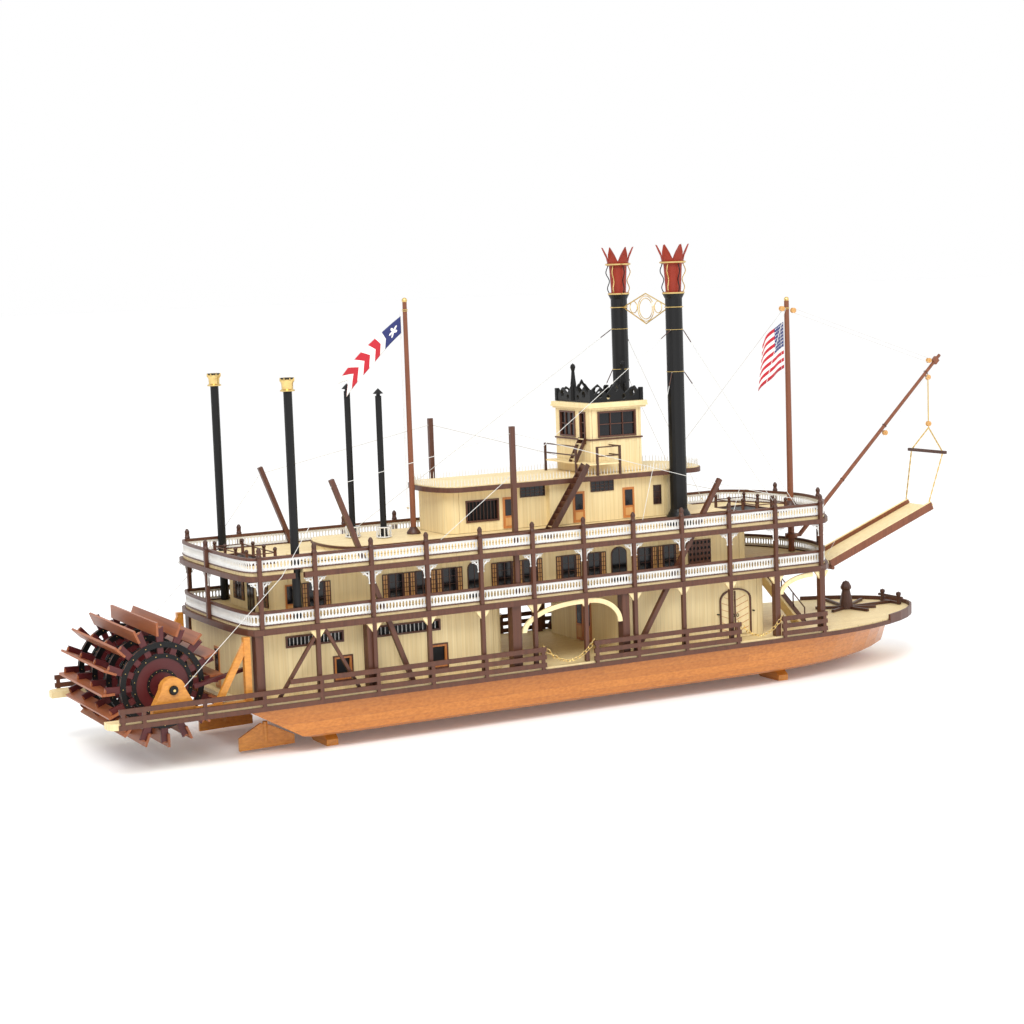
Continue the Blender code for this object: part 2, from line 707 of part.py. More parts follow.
def build_main_houses():
    low, high = DECK_TOP + GAP, BOILER_FASCIA[0] + 0.0020
    windows = [rectangle(station(a), station(b), 0.0760, 0.0830) for a, b in ((-0.42, 0.58), (1.20, 2.35))]
    doors = [rectangle(station(a), station(b), DECK_TOP + 0.0080, 0.0640) for a, b in ((0.42, 0.70), (2.15, 2.45))]
    build_house("engine_house", station(-1.10), station(3.55), MAIN_HOUSE_HALF, low, high, windows + doors)
    door = arched(station(8.00), station(8.62), DECK_TOP + 0.0030, 0.0790)
    build_house("fore_house", station(5.95), station(8.98), MAIN_HOUSE_HALF, low, high, [door])


def build_saloon():
    low, high = BOILER_DECK[1] + GAP, HURRICANE_DECK[0] - GAP
    build_house("saloon", station(-0.45), station(8.75), SALOON_HALF, low, high)


def build_texas():
    """The raised platform, the two-part cabin on it and the cabin's roof."""
    half = 0.0385
    stern = [(-x, -y) for x, y in rounded_end(-station(1.25), 0.45 * BAY, half, 2.2, 10)]
    outline = [(station(8.55), -half), (station(8.55), half)] + stern
    foot = HURRICANE_DECK[1] + GAP
    platform = add_node("texas_platform", plate_mesh([outline], foot, PLATFORM_TOP), DECK_WOOD)
    low, high = PLATFORM_TOP + GAP, TEXAS_ROOF[0] - GAP
    aft, step, fore = station(2.95), station(4.90), station(7.45)
    narrow, wide, radius = 0.0270, 0.0325, 0.0080
    tail, nose = aft + radius + 0.001, fore - radius - 0.001
    add_node("texas_aft_wall", rounded_wall(aft, tail, narrow, radius, low, high), DECK_WOOD)
    add_node("texas_fore_wall", rounded_wall(fore, nose, wide, radius, low, high), DECK_WOOD)
    window = rectangle(station(3.30), station(3.92), 0.1485, 0.1640)
    for side, sign in BOTH_SIDES:
        narrow_pair = sorted((sign * (narrow - WALL / 2), sign * (narrow + WALL / 2)))
        wide_pair = sorted((sign * (wide - WALL / 2), sign * (wide + WALL / 2)))
        across = sorted((sign * (narrow - WALL / 2), sign * (wide + WALL / 2)))
        meshes = [
            upright_mesh([rectangle(tail + GAP, step, low, high), window], *narrow_pair),
            upright_mesh([rectangle(step, nose - GAP, low, high)], *wide_pair),
            box_mesh((step - WALL / 2, across[0], low), (step + WALL / 2, across[1], high)),
        ]
        joined_node(f"texas_{side}_wall", meshes, DECK_WOOD)
    bow = rounded_end(station(7.75), 0.45 * BAY, half, 2.2, 10)
    tail_end = rounded_end(-station(3.14), 0.42 * BAY, half, 2.2, 10)
    roof = add_node("texas_roof", plate_mesh([bow + [(-x, -y) for x, y in tail_end]], *TEXAS_ROOF), DECK_WOOD)
    for side, sign in BOTH_SIDES:
        x, y = station(CHIMNEY_STATION), sign * CHIMNEY_HALF
        for node, radius in ((platform, 0.0103), (roof, 0.0073)):
            notch = rod_mesh((x, y, foot - 0.005), (x, y, TEXAS_ROOF[1] + 0.005), radius, sides=16)
            cut_from(node, f"{node.name}_{side}_notch", notch)


def build_pilot_house():
    """A square cabin of four walls with windows on every side, under a flat roof with a pierced crown."""
    low, high = TEXAS_ROOF[1] + GAP, PILOT_ROOF[0] - GAP
    aft, fore, half = station(5.82), station(6.88), 0.0270
    sill, lintel = 0.2050, 0.2240
    side_window = rectangle(aft + 0.0075, fore - 0.0055, sill, lintel)
    for side, sign in BOTH_SIDES:
        y_pair = sorted((sign * (half - WALL), sign * half))
        outlines = [rectangle(aft + WALL + GAP, fore - WALL - GAP, low, high), side_window]
        add_node(f"pilot_house_{side}_wall", upright_mesh(outlines, *y_pair), DECK_WOOD)
    aft_openings = [rectangle(-0.0200, -0.0125, low + 0.0230, lintel), rectangle(-0.0040, 0.0190, sill, lintel)]
    outlines = [rectangle(-half, half, low, high)] + aft_openings
    add_node("pilot_house_aft_wall", athwart_mesh(outlines, aft, aft + WALL), DECK_WOOD)
    fore_window = rectangle(-half + 0.0050, half - 0.0050, sill, lintel)
    outlines = [rectangle(-half, half, low, high), fore_window]
    add_node("pilot_house_fore_wall", athwart_mesh(outlines, fore - WALL, fore), DECK_WOOD)
    roof = box_mesh((aft - 0.0022, -0.0300, PILOT_ROOF[0]), (fore + 0.0045, 0.0300, PILOT_ROOF[1]))
    add_node("pilot_house_roof", roof, DECK_WOOD)


def crown_board(length):
    """A pierced scroll board drawn from its middle, which rises there to a point over a diamond hole."""
    half = length / 2
    # Share of the half length and height of the top edge, from the end to the middle
    edge = (
        (1.0, 0.0090), (0.90, 0.0090), (0.88, 0.0058), (0.78, 0.0078), (0.64, 0.0108), (0.50, 0.0086),
        (0.36, 0.0062), (0.24, 0.0088), (0.14, 0.0118), (0.08, 0.0125),
    )
    right = [(half * share, height) for share, height in edge]
    left = [(-x, height) for x, height in reversed(right)]
    outline = [(-half, 0), (half, 0)] + right + [(0, 0.0156)] + left
    holes = [[(0, 0.0070), (0.0022, 0.0096), (0, 0.0125), (-0.0022, 0.0096)]]
    for sign in (-1, 1):
        holes.append(circle(sign * half * 0.64, 0.0060, 0.0028, 8))
        holes.append(circle(sign * half * 0.30, 0.0036, 0.0020, 8))
    return outline, holes


def build_crown():
    """Black scroll boards on the pilot house roof, with turned spires."""
    aft, fore, half = station(5.86), station(6.90), 0.0265
    base = PILOT_ROOF[1] + GAP
    height = 0.0095
    middle = (aft + fore) / 2
    meshes = []
    outline, holes = crown_board(fore - aft)
    for sign in (-1, 1):
        shapes = [[(middle + u, base + v) for u, v in shape] for shape in [outline] + holes]
        meshes.append(upright_mesh(shapes, sign * half - 0.0008, sign * half + 0.0008))
    outline, holes = crown_board(2 * half)
    for x in (aft, fore):
        shapes = [[(u, base + v) for u, v in shape] for shape in [outline] + holes]
        meshes.append(athwart_mesh(shapes, x - 0.0008, x + 0.0008))
    for x in (aft, fore):
        for y in (-half, half):
            meshes.append(box_mesh((x - 0.0014, y - 0.0014, base), (x + 0.0014, y + 0.0014, base + height + 0.0004)))
    for x, y in ((aft, 0.0), (fore, 0.0)):
        profile = [
            (0, base + 0.0300), (0.0018, base + 0.0288), (0.0024, base + 0.0270), (0.0018, base + 0.0252),
            (0.0014, base + 0.0240), (0.0020, base + 0.0180), (0.0026, base + 0.0140), (0.0026, base + 0.0010),
            (0, base + 0.0010),
        ]
        meshes.append(turned_mesh(profile, (x, y, 0), steps=6))
    joined_node("pilot_house_crown", meshes, SATIN_BLACK)


# Stacks and spars

def build_chimneys():
    """Two tall chimneys that end in a flanged neck with a petalled rim."""
    x = station(CHIMNEY_STATION)
    neck = 0.3100
    base = HURRICANE_DECK[1] + GAP
    radius = 0.0067
    for side, sign in BOTH_SIDES:
        y = sign * CHIMNEY_HALF
        profile = [
            (0, neck), (radius, neck), (radius, base + 0.0125), (radius + 0.0030, base + 0.0055),
            (radius + 0.0030, base), (0, base),
        ]
        stack = turned_mesh(profile, (x, y, 0), steps=16)
        joined_node(f"chimney_{side}", [stack, crown_cup(x, y, neck - 0.0010)], SATIN_BLACK)


def crown_cup(x, y, foot):
    """A flanged neck under a collar, whose rim rises in six broad petals."""
    steps = 24
    # Radius, height over the foot, and how far the petals' middles lean out and rise
    rings = (
        (0.0064, 0.0, 0.0, 0.0), (0.0085, 0.0042, 0.0, 0.0), (0.0085, 0.0056, 0.0, 0.0),
        (0.0060, 0.0062, 0.0, 0.0), (0.0072, 0.0270, 0.0, 0.0), (0.0100, 0.0280, 0.0, 0.0),
        (0.0100, 0.0292, 0.0, 0.0), (0.0086, 0.0298, 0.0, 0.0), (0.0088, 0.0304, 0.0012, 0.0060),
        (0.0090, 0.0308, 0.0041, 0.0117), (0.0080, 0.0308, 0.0038, 0.0114),
        (0.0078, 0.0304, 0.0010, 0.0060), (0.0070, 0.0298, 0.0, 0.0),
    )
    build = bmesh.new()
    loops = []
    for radius, height, lean, rise in rings:
        loop = []
        for step in range(steps):
            raised = (0.0, 0.5, 1.0, 0.5)[step % 4]
            angle = 2 * math.pi * step / steps
            spread = radius + lean * raised
            z = foot + height + rise * raised
            loop.append(build.verts.new((spread * math.cos(angle), spread * math.sin(angle), z)))
        loops.append(loop)
    for lower, upper in zip(loops, loops[1:]):
        edges = [build.edges.get((loop[i - 1], loop[i])) or build.edges.new((loop[i - 1], loop[i]))
                 for loop in (lower, upper) for i in range(steps)]
        bmesh.ops.bridge_loops(build, edges=edges)
    for loop in (loops[0], loops[-1]):
        build.faces.new(loop)
    bmesh.ops.translate(build, vec=(x, y, 0), verts=build.verts)
    bmesh.ops.recalc_face_normals(build, faces=build.faces)
    return mesh_from(build)


def build_escape_pipes():
    """Two tall pipes at the stern, whose notches part the hurricane deck's edge, and two thin ones amidships."""
    top = 0.2665
    base = BOILER_DECK[1] + GAP
    for side, place, y in TALL_PIPES:
        profile = [
            (0, top), (0.0048, top), (0.0036, top - 0.0055), (0.0031, top - 0.0062), (0.0031, base), (0, base),
        ]
        add_node(f"escape_pipe_{side}", turned_mesh(profile, (station(place), y, 0), steps=12), SATIN_BLACK)
    base = PLATFORM_TOP + GAP
    for side, place, y, top in (("aft", 1.55, 0.0120, 0.2560), ("fore", 1.95, -0.0060, 0.2520)):
        profile = [
            (0, top), (0.0042, top - 0.0040), (0.0016, top - 0.0044), (0.0016, top - 0.0056),
            (0.0025, top - 0.0058), (0.0025, base + 0.0016), (0.0046, base + 0.0016), (0.0046, base), (0, base),
        ]
        add_node(f"steam_pipe_{side}", turned_mesh(profile, (station(place), y, 0), steps=8), SATIN_BLACK)


def cut_pipe_notch(node, place, y):
    """Opens a node of the hurricane deck's edge where a tall pipe passes."""
    x = station(place)
    y_low, y_high = sorted((math.copysign(0.0625, y), math.copysign(0.0790, y)))
    low = (x - 0.0036, y_low, HURRICANE_FASCIA[0] - 0.0010)
    cut_from(node, f"{node.name}_notch_{y}", box_mesh(low, (x + 0.0036, y_high, HURRICANE_RAIL_TOP + 0.0010)))


def build_masts():
    """The aft mast on the texas platform's line and the fore mast on the boiler deck."""
    for name, place, base, top, radius in (
        ("aft_mast", AFT_MAST_STATION, PLATFORM_TOP + GAP, 0.3180, 0.0022),
        ("fore_mast", MAST_STATION, BOILER_DECK[1] + GAP, 0.3065, 0.0027),
    ):
        profile = [
            (0, top), (0.0016, top - 0.0010), (0.0016, top - 0.0030), (radius * 0.75, top - 0.0035),
            (radius, base + 0.0300), (radius, base), (0, base),
        ]
        add_node(name, turned_mesh(profile, (station(place), 0, 0), steps=10), TRIM_WOOD)


def build_boom():
    """The boom that carries the landing stage, with its blocks."""
    heel = keel_point(BOOM_HEEL_STATION, BOOM_HEEL_HEIGHT)
    head = keel_point(BOOM_HEAD_STATION, BOOM_HEAD_HEIGHT)
    along = (head - heel).normalized()
    mast_x = station(MAST_STATION)
    collar = [circle(mast_x, 0, 0.0052, 16), circle(mast_x, 0, 0.0032, 16)]
    meshes = [
        rod_mesh(heel, head, 0.0019, 0.0014),
        bar_mesh(head - along * 0.0090, head - along * 0.0040, 0.0030, 0.0052),
        plate_mesh(collar, heel.z - 0.0015, heel.z + 0.0020),
        box_mesh((mast_x + 0.0042, -0.0014, heel.z - 0.0012), (heel.x + 0.0012, 0.0014, heel.z + 0.0016)),
    ]
    joined_node("boom", meshes, TRIM_WOOD)


def build_stage():
    """The landing stage hung under the boom: two side beams with a recessed floor, and its crossbar."""
    heel = keel_point(STAGE_HEEL_STATION, STAGE_HEEL_HEIGHT)
    tip = keel_point(STAGE_TIP_STATION, STAGE_TIP_HEIGHT)
    length = (tip - heel).length
    half, wall, depth, floor = STAGE_HALF, 0.0018, 0.0066, 0.0026
    outline = [
        (-half, 0), (half, 0), (half, depth), (half - wall, depth), (half - wall, floor), (-half + wall, floor),
        (-half + wall, depth), (-half, depth),
    ]
    along = (tip - heel).normalized()
    across = Vector((0, 1, 0))
    upward = along.cross(across)
    turn = Matrix((across, upward, along)).transposed().to_4x4()
    matrix = Matrix.Translation((heel + tip) / 2) @ turn
    channel = outline_mesh([outline], length, matrix)
    bar = rod_mesh(heel + Vector((0, -half - 0.0016, 0)), heel + Vector((0, half + 0.0016, 0)), 0.0016)
    joined_node("landing_stage", [channel, bar], TRIM_WOOD)


def chain_meshes(start, end, links, radius):
    """Flat oval links, each turned a quarter from the last, as squared bars that overlap."""
    start, end = Vector(start), Vector(end)
    step = (end - start) / links
    meshes = []
    for number in range(links):
        low = start + step * (number - 0.12)
        high = start + step * (number + 1.12)
        wide, thin = (radius * 2, radius) if number % 2 else (radius, radius * 2)
        meshes.append(bar_mesh(low, high, wide, thin))
    return meshes


def build_sling():
    """The brass sling under the boom's head: a bridle, the spreader bar and a chain down to each stage beam."""
    head = keel_point(BOOM_HEAD_STATION, BOOM_HEAD_HEIGHT)
    apex = Vector((head.x - 0.0128, 0, BRIDLE_TOP))
    hook = Vector((head.x - 0.0128, 0, head.z - 0.0160))
    bar_z, bar_half = SPREADER_Z, 0.0210
    bar_x = apex.x - 0.0020
    tip = keel_point(STAGE_TIP_STATION, STAGE_TIP_HEIGHT)
    ends = [Vector((bar_x, sign * bar_half, bar_z)) for _, sign in BOTH_SIDES]
    meshes = [rod_mesh((bar_x, -bar_half - 0.0030, bar_z), (bar_x, bar_half + 0.0030, bar_z), 0.0011)]
    meshes.append(rod_mesh(hook, apex, 0.0005, sides=6))
    for end in ends:
        meshes += chain_meshes(end, apex, 7, 0.0006)
        foot = Vector((tip.x - 0.0040, math.copysign(STAGE_HALF - 0.0009, end.y), tip.z + 0.0068))
        meshes += chain_meshes(foot, end, 13, 0.0006)
    joined_node("stage_sling", meshes, BRASS)


# Deck gear

def build_bow_gear():
    """The capstan with the deck timbers that radiate from it, and the bitts joined to it by one of them."""
    x = station(CAPSTAN_STATION)
    foot = DECK_TOP + GAP
    profile = [
        (0, foot + 0.0240), (0.0026, foot + 0.0228), (0.0046, foot + 0.0190), (0.0046, foot + 0.0172),
        (0.0034, foot + 0.0158), (0.0054, foot + 0.0060), (0.0062, foot), (0, foot),
    ]
    meshes = [turned_mesh(profile, (x, 0, 0), steps=12)]
    for degrees, reach in CAPSTAN_TIMBERS:
        turn = math.radians(degrees)
        end = (x + reach * math.cos(turn), reach * math.sin(turn), foot + 0.0011)
        meshes.append(bar_mesh((x, 0, foot + 0.0011), end, 0.0022, 0.0022))
    bitts_x = x + 0.0470
    for y in (-0.0110, 0.0110):
        profile = [(0, foot + 0.0110), (0.0022, foot + 0.0100), (0.0022, foot + 0.0080), (0.0016, foot + 0.0072),
                   (0.0017, foot), (0, foot)]
        meshes.append(turned_mesh(profile, (bitts_x, y, 0), steps=8))
    for level, reach in ((foot + 0.0011, 0.0135), (foot + 0.0058, 0.0160)):
        meshes.append(bar_mesh((bitts_x, -reach, level), (bitts_x, reach, level), 0.0018, 0.0020))
    joined_node("capstan_and_bitts", meshes, DARK_WOOD)


def stair_mesh(low, high, y_low, y_high, steps):
    """A closed flight of steps from the low point to the high point, in X and Z."""
    (x0, z0), (x1, z1) = low, high
    outline = []
    for step in range(steps):
        x = x0 + (x1 - x0) * step / steps
        z = z0 + (z1 - z0) * (step + 1) / steps
        outline += [(x, z - (z1 - z0) / steps), (x, z)]
    outline += [(x1, z1), (x1, z1 - 0.0040), (x0 + (x1 - x0) * 0.06, z0)]
    return upright_mesh([outline], y_low, y_high)


def build_stairs():
    foot, head = DECK_TOP + GAP, BOILER_DECK[0] - GAP
    fore = stair_mesh((station(10.10), foot), (station(9.20), head - 0.0020), -0.0430, -0.0290, 9)
    add_node("fore_stair", fore, DECK_WOOD)
    foot = HURRICANE_DECK[1] + GAP
    texas = stair_mesh((station(4.68), foot), (station(5.50), TEXAS_ROOF[1] + 0.0087), -0.0470, -0.0390, 12)
    add_node("texas_stair", texas, TRIM_WOOD)


def build_flags():
    """The pennant and the national flag, as plain closed sheets held along their masts."""
    x, top = station(AFT_MAST_STATION), 0.3045
    thick = 0.0004
    pennant = [
        (x - 0.0032, top), (x - 0.0590, top - 0.0480), (x - 0.0480, top - 0.0470), (x - 0.0500, top - 0.0580),
        (x - 0.0032, top - 0.0125),
    ]
    add_node("pennant", upright_mesh([pennant], -thick, thick), FLAG_CLOTH)
    x, top = station(MAST_STATION), 0.2860
    flag = [(x - 0.0034, top), (x - 0.0034, top - 0.0380), (x - 0.0290, top - 0.0560), (x - 0.0260, top - 0.0180)]
    add_node("flag", upright_mesh([flag], -thick, thick), FLAG_CLOTH)


def main():
    build_hull()
    build_cradle()
    build_rudders()
    build_main_deck()
    build_guard()
    build_deck_posts()
    build_deck_plates()
    build_gallery_frame()
    build_balustrade("boiler_balustrade", BOILER_DECK[1], BOILER_RAIL_TOP)
    balustrade = build_balustrade("hurricane_balustrade", HURRICANE_DECK[1], HURRICANE_RAIL_TOP)
    cut_pipe_notch(balustrade, *TALL_PIPES[0][1:])
    build_wheel()
    build_wheel_supports()
    build_main_houses()
    build_saloon()
    build_texas()
    build_pilot_house()
    build_crown()
    build_chimneys()
    build_escape_pipes()
    build_masts()
    build_boom()
    build_stage()
    build_sling()
    build_bow_gear()
    build_stairs()
    build_flags()


main()
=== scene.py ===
"""Finish of a wooden sternwheel paddle boat model: joinery, fittings, rigging, flags and studio light."""

import logging
import math
from collections.abc import Iterable, Sequence
from dataclasses import dataclass, field
from enum import Enum

import bmesh
import bpy
from mathutils import Matrix, Vector


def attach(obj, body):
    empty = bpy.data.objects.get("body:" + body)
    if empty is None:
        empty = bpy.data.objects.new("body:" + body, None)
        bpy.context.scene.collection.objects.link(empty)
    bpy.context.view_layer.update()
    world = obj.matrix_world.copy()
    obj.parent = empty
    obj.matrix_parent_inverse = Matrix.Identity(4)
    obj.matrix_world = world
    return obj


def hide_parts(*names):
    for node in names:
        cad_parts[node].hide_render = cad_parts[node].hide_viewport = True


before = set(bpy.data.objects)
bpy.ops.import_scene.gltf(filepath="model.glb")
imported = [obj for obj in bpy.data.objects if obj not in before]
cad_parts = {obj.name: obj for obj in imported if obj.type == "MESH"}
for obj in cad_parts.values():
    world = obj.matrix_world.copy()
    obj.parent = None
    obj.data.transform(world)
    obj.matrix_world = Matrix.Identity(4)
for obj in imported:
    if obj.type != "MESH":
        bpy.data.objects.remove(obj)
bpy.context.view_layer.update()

LOG = logging.getLogger("paddle_boat")

Colour = tuple[float, float, float]
Point = tuple[float, float, float]
Flat = tuple[float, float]

# Driving dimensions of the frame, in metres

BAY = 0.0435
CENTRE_STATION = 5.335
DECK_TOP = 0.0406
BOILER_FASCIA = (0.0887, 0.0929)
BOILER_DECK_TOP = 0.0947
BOILER_RAIL_TOP = 0.1049
HURRICANE_FASCIA = (0.1266, 0.1303)
HURRICANE_DECK_TOP = 0.1326
HURRICANE_RAIL_TOP = 0.1428
PLATFORM_TOP = 0.1400
TEXAS_ROOF = (0.1725, 0.1768)
PILOT_ROOF_TOP = 0.2315
POST_HALF = 0.0744
POST_SIDE = 0.0030
WALL = 0.0018
MAIN_HOUSE_HALF = 0.0590
SALOON_HALF = 0.0500
CHIMNEY_STATION = 7.43
CHIMNEY_HALF = 0.0415
CHIMNEY_RADIUS = 0.0067
WHEEL_STATION = -2.47
WHEEL_AXIS_Z = 0.0583
AFT_MAST_STATION = 2.58
FORE_MAST_STATION = 10.55
GALLERY_STERN = (-0.95, 0.28 * BAY, 3.2)
GALLERY_BOW = (9.96, 0.85 * BAY, 1.65)
SIDES = (("starboard", -1), ("port", 1))
NO_TURN = Matrix.Identity(4)


def station(bays: float) -> float:
    """X of a station counted in bays from the first post."""
    return (bays - CENTRE_STATION) * BAY


class Grain(Enum):
    """The axis that a wood's grain and planks run along, and the one that its planks lie side by side on."""

    ALONG_DECK = ("X", "Y")
    ALONG_HULL = ("X", "Z")
    ATHWART = ("Y", "X")
    UPRIGHT = ("Z", "XY")


class ShaderBench:
    """A material being made: a Principled shader and the nodes that feed it."""

    def __init__(self, name: str, roughness: float, metallic: float = 0.0) -> None:
        """Starts a material with its shader.

        Args:
            name: the material's name.
            roughness: the shader's roughness where nothing feeds it.
            metallic: the shader's metallic value.
        """
        self.material = bpy.data.materials.new(name)
        self.material.use_nodes = True
        self.tree = self.material.node_tree
        self.shader = self.tree.nodes["Principled BSDF"]
        self.shader.inputs["Roughness"].default_value = roughness
        self.shader.inputs["Metallic"].default_value = metallic

    def node(self, kind: str, **values: object) -> bpy.types.Node:
        """A new node with some of its inputs set or fed.

        Args:
            kind: the node's type without its ShaderNode prefix.
            values: input names, with _ for a space, and a number, a colour or the socket that feeds it.

        Returns:
            The node.
        """
        made = self.tree.nodes.new("ShaderNode" + kind)
        for name, value in values.items():
            self.feed(made.inputs[name.replace("_", " ")], value)
        return made

    def feed(self, socket: bpy.types.NodeSocket, value: object) -> None:
        """Links a socket to an input, or sets the input to a value."""
        if isinstance(value, bpy.types.NodeSocket):
            self.tree.links.new(value, socket)
        else:
            socket.default_value = value

    def math(self, operation: str, *values: object) -> bpy.types.NodeSocket:
        """The result of one arithmetic step on numbers or sockets."""
        made = self.tree.nodes.new("ShaderNodeMath")
        made.operation = operation
        for socket, value in zip(made.inputs, values):
            self.feed(socket, value)
        return made.outputs[0]

    def mix(self, share: object, first: object, second: object, blend: str = "MIX") -> bpy.types.NodeSocket:
        """Two colours mixed by a share.

        Args:
            share: how much of the second, a number or a socket.
            first: the colour at share 0.
            second: the colour at share 1.
            blend: Blender's blend type.

        Returns:
            The mixed colour.
        """
        made = self.tree.nodes.new("ShaderNodeMix")
        made.data_type = "RGBA"
        made.blend_type = blend
        self.feed(made.inputs[0], share)
        self.feed(made.inputs[6], opaque(first))
        self.feed(made.inputs[7], opaque(second))
        return made.outputs[2]

    def place(self) -> dict[str, bpy.types.NodeSocket]:
        """The point's Object coordinates as X, Y and Z."""
        coordinates = self.tree.nodes.new("ShaderNodeTexCoord")
        parts = self.node("SeparateXYZ", Vector=coordinates.outputs["Object"])
        return {axis: parts.outputs[axis] for axis in "XYZ"}

    def noise(self, vector: object, scale: float, detail: float = 2.0) -> bpy.types.NodeSocket:
        """Noise from 0 to 1 on a vector."""
        return self.node("TexNoise", Vector=vector, Scale=scale, Detail=detail).outputs["Fac"]

    def colour(self, value: object) -> None:
        """Sets or feeds the base colour."""
        self.feed(self.shader.inputs["Base Color"], opaque(value))

    def bump(self, height: object, distance: float, strength: float = 1.0) -> None:
        """Raises the surface by a height from 0 to 1 over a distance in metres."""
        made = self.node("Bump", Height=height, Distance=distance, Strength=strength)
        self.feed(self.shader.inputs["Normal"], made.outputs["Normal"])


def opaque(value: object) -> object:
    """A colour of three numbers with full alpha, or the value as it is."""
    return (*value, 1.0) if isinstance(value, tuple) and len(value) == 3 else value


@dataclass(frozen=True)
class Wood:
    """A bare or varnished wood, laid as planks or as one board."""

    name: str
    light: Colour
    dark: Colour
    grain: Grain = Grain.ALONG_DECK
    roughness: float = 0.5
    coat: float = 0.0
    plank: float = 0.0
    plank_length: float = 0.17
    seam: float = 0.45
    tone_step: float = 0.10
    figure: float = 1.0

    def make(self) -> bpy.types.Material:
        """Builds the material.

        Returns:
            The wood with its grain, planks and varnish.
        """
        bench = ShaderBench(self.name, self.roughness)
        bench.shader.inputs["Coat Weight"].default_value = self.coat
        bench.shader.inputs["Coat Roughness"].default_value = 0.16
        place = bench.place()
        run, side = self.grain.value
        across = place[side] if side != "XY" else bench.math("ADD", place["X"], place["Y"])
        other = {"X": "Z", "Y": "X", "Z": "X"}[side[0]] if side != "XY" else "X"
        streaks = bench.node(
            "CombineXYZ",
            X=bench.math("MULTIPLY", place[run], 22.0),
            Y=bench.math("MULTIPLY", across, 620.0),
            Z=bench.math("MULTIPLY", place[other], 60.0 if side == "XY" else 300.0),
        ).outputs[0]
        grain = bench.noise(streaks, 1.0, 3.0)
        cloud = bench.noise(streaks, 0.12, 2.0)
        ramp = bench.node("MapRange", Value=grain)
        ramp.inputs["From Min"].default_value = 0.30
        ramp.inputs["From Max"].default_value = 0.72
        tone = bench.mix(ramp.outputs[0], self.light, self.dark)
        softened = bench.mix(bench.math("MULTIPLY", cloud, 0.55 * self.figure), tone, self.light)
        height = grain
        if self.plank:
            boards = bench.node(
                "TexBrick",
                Vector=bench.node("CombineXYZ", X=place[run], Y=across).outputs[0],
                Color1=opaque((1.0, 1.0, 1.0)),
                Color2=opaque(tuple(1.0 - self.tone_step * share for share in (0.8, 1.0, 1.25))),
                Mortar=opaque((1.0 - self.seam,) * 3),
                Scale=1000.0,
            )
            boards.inputs["Mortar Size"].default_value = 0.11
            boards.inputs["Mortar Smooth"].default_value = 0.3
            boards.inputs["Brick Width"].default_value = self.plank_length * 1000.0
            boards.inputs["Row Height"].default_value = self.plank * 1000.0
            boards.offset = 0.37
            softened = bench.mix(1.0, softened, boards.outputs["Color"], "MULTIPLY")
            height = bench.math("SUBTRACT", bench.math("MULTIPLY", grain, 0.25), boards.outputs["Fac"])
        bench.colour(softened)
        bench.bump(height, 0.00012, 0.6)
        return bench.material


@dataclass(frozen=True)
class Paint:
    """A painted or moulded surface with a slight unevenness."""

    name: str
    colour: Colour
    roughness: float = 0.4
    mottle: float = 0.12
    gloss: float = 0.5

    def make(self) -> bpy.types.Material:
        """Builds the material.

        Returns:
            The paint, mottled a little.
        """
        bench = ShaderBench(self.name, self.roughness)
        bench.shader.inputs["Specular IOR Level"].default_value = self.gloss
        place = bench.place()
        vector = bench.node("CombineXYZ", X=place["X"], Y=place["Y"], Z=place["Z"]).outputs[0]
        cloud = bench.noise(vector, 90.0, 3.0)
        darker = tuple(part * (1.0 - 2.0 * self.mottle) for part in self.colour)
        bench.colour(bench.mix(cloud, self.colour, darker))
        bench.bump(bench.noise(vector, 2600.0, 1.0), 0.00003, 0.4)
        return bench.material


@dataclass(frozen=True)
class Metal:
    """A polished or cast metal."""

    name: str
    colour: Colour
    roughness: float = 0.28

    def make(self) -> bpy.types.Material:
        """Builds the material.

        Returns:
            The metal, duller in patches.
        """
        bench = ShaderBench(self.name, self.roughness, metallic=1.0)
        place = bench.place()
        vector = bench.node("CombineXYZ", X=place["X"], Y=place["Y"], Z=place["Z"]).outputs[0]
        cloud = bench.noise(vector, 300.0, 2.0)
        bench.colour(bench.mix(cloud, self.colour, tuple(part * 0.72 for part in self.colour)))
        bench.feed(
            bench.shader.inputs["Roughness"],
            bench.math("ADD", bench.math("MULTIPLY", cloud, 0.22), self.roughness - 0.11),
        )
        bench.bump(bench.noise(vector, 1800.0, 1.0), 0.00002, 0.3)
        return bench.material


@dataclass(frozen=True)
class StackPaint:
    """Black chimney paint under a red neck and crown."""

    name: str
    black: Colour
    red: Colour
    neck: float

    def make(self) -> bpy.types.Material:
        """Builds the material.

        Returns:
            The two paints, parted at the neck's height.
        """
        bench = ShaderBench(self.name, 0.42)
        bench.shader.inputs["Specular IOR Level"].default_value = 0.3
        place = bench.place()
        vector = bench.node("CombineXYZ", X=place["X"], Y=place["Y"], Z=place["Z"]).outputs[0]
        above = bench.math("GREATER_THAN", place["Z"], self.neck)
        worn = bench.mix(bench.noise(vector, 90.0, 3.0), self.red, tuple(part * 0.7 for part in self.red))
        bench.colour(bench.mix(above, self.black, worn))
        bench.bump(bench.noise(vector, 2600.0, 1.0), 0.00003, 0.4)
        return bench.material


CREAM = (0.84, 0.69, 0.39)
CREAM_SHADE = (0.72, 0.54, 0.26)
BROWN = (0.110, 0.036, 0.017)
BROWN_SHADE = (0.052, 0.016, 0.008)

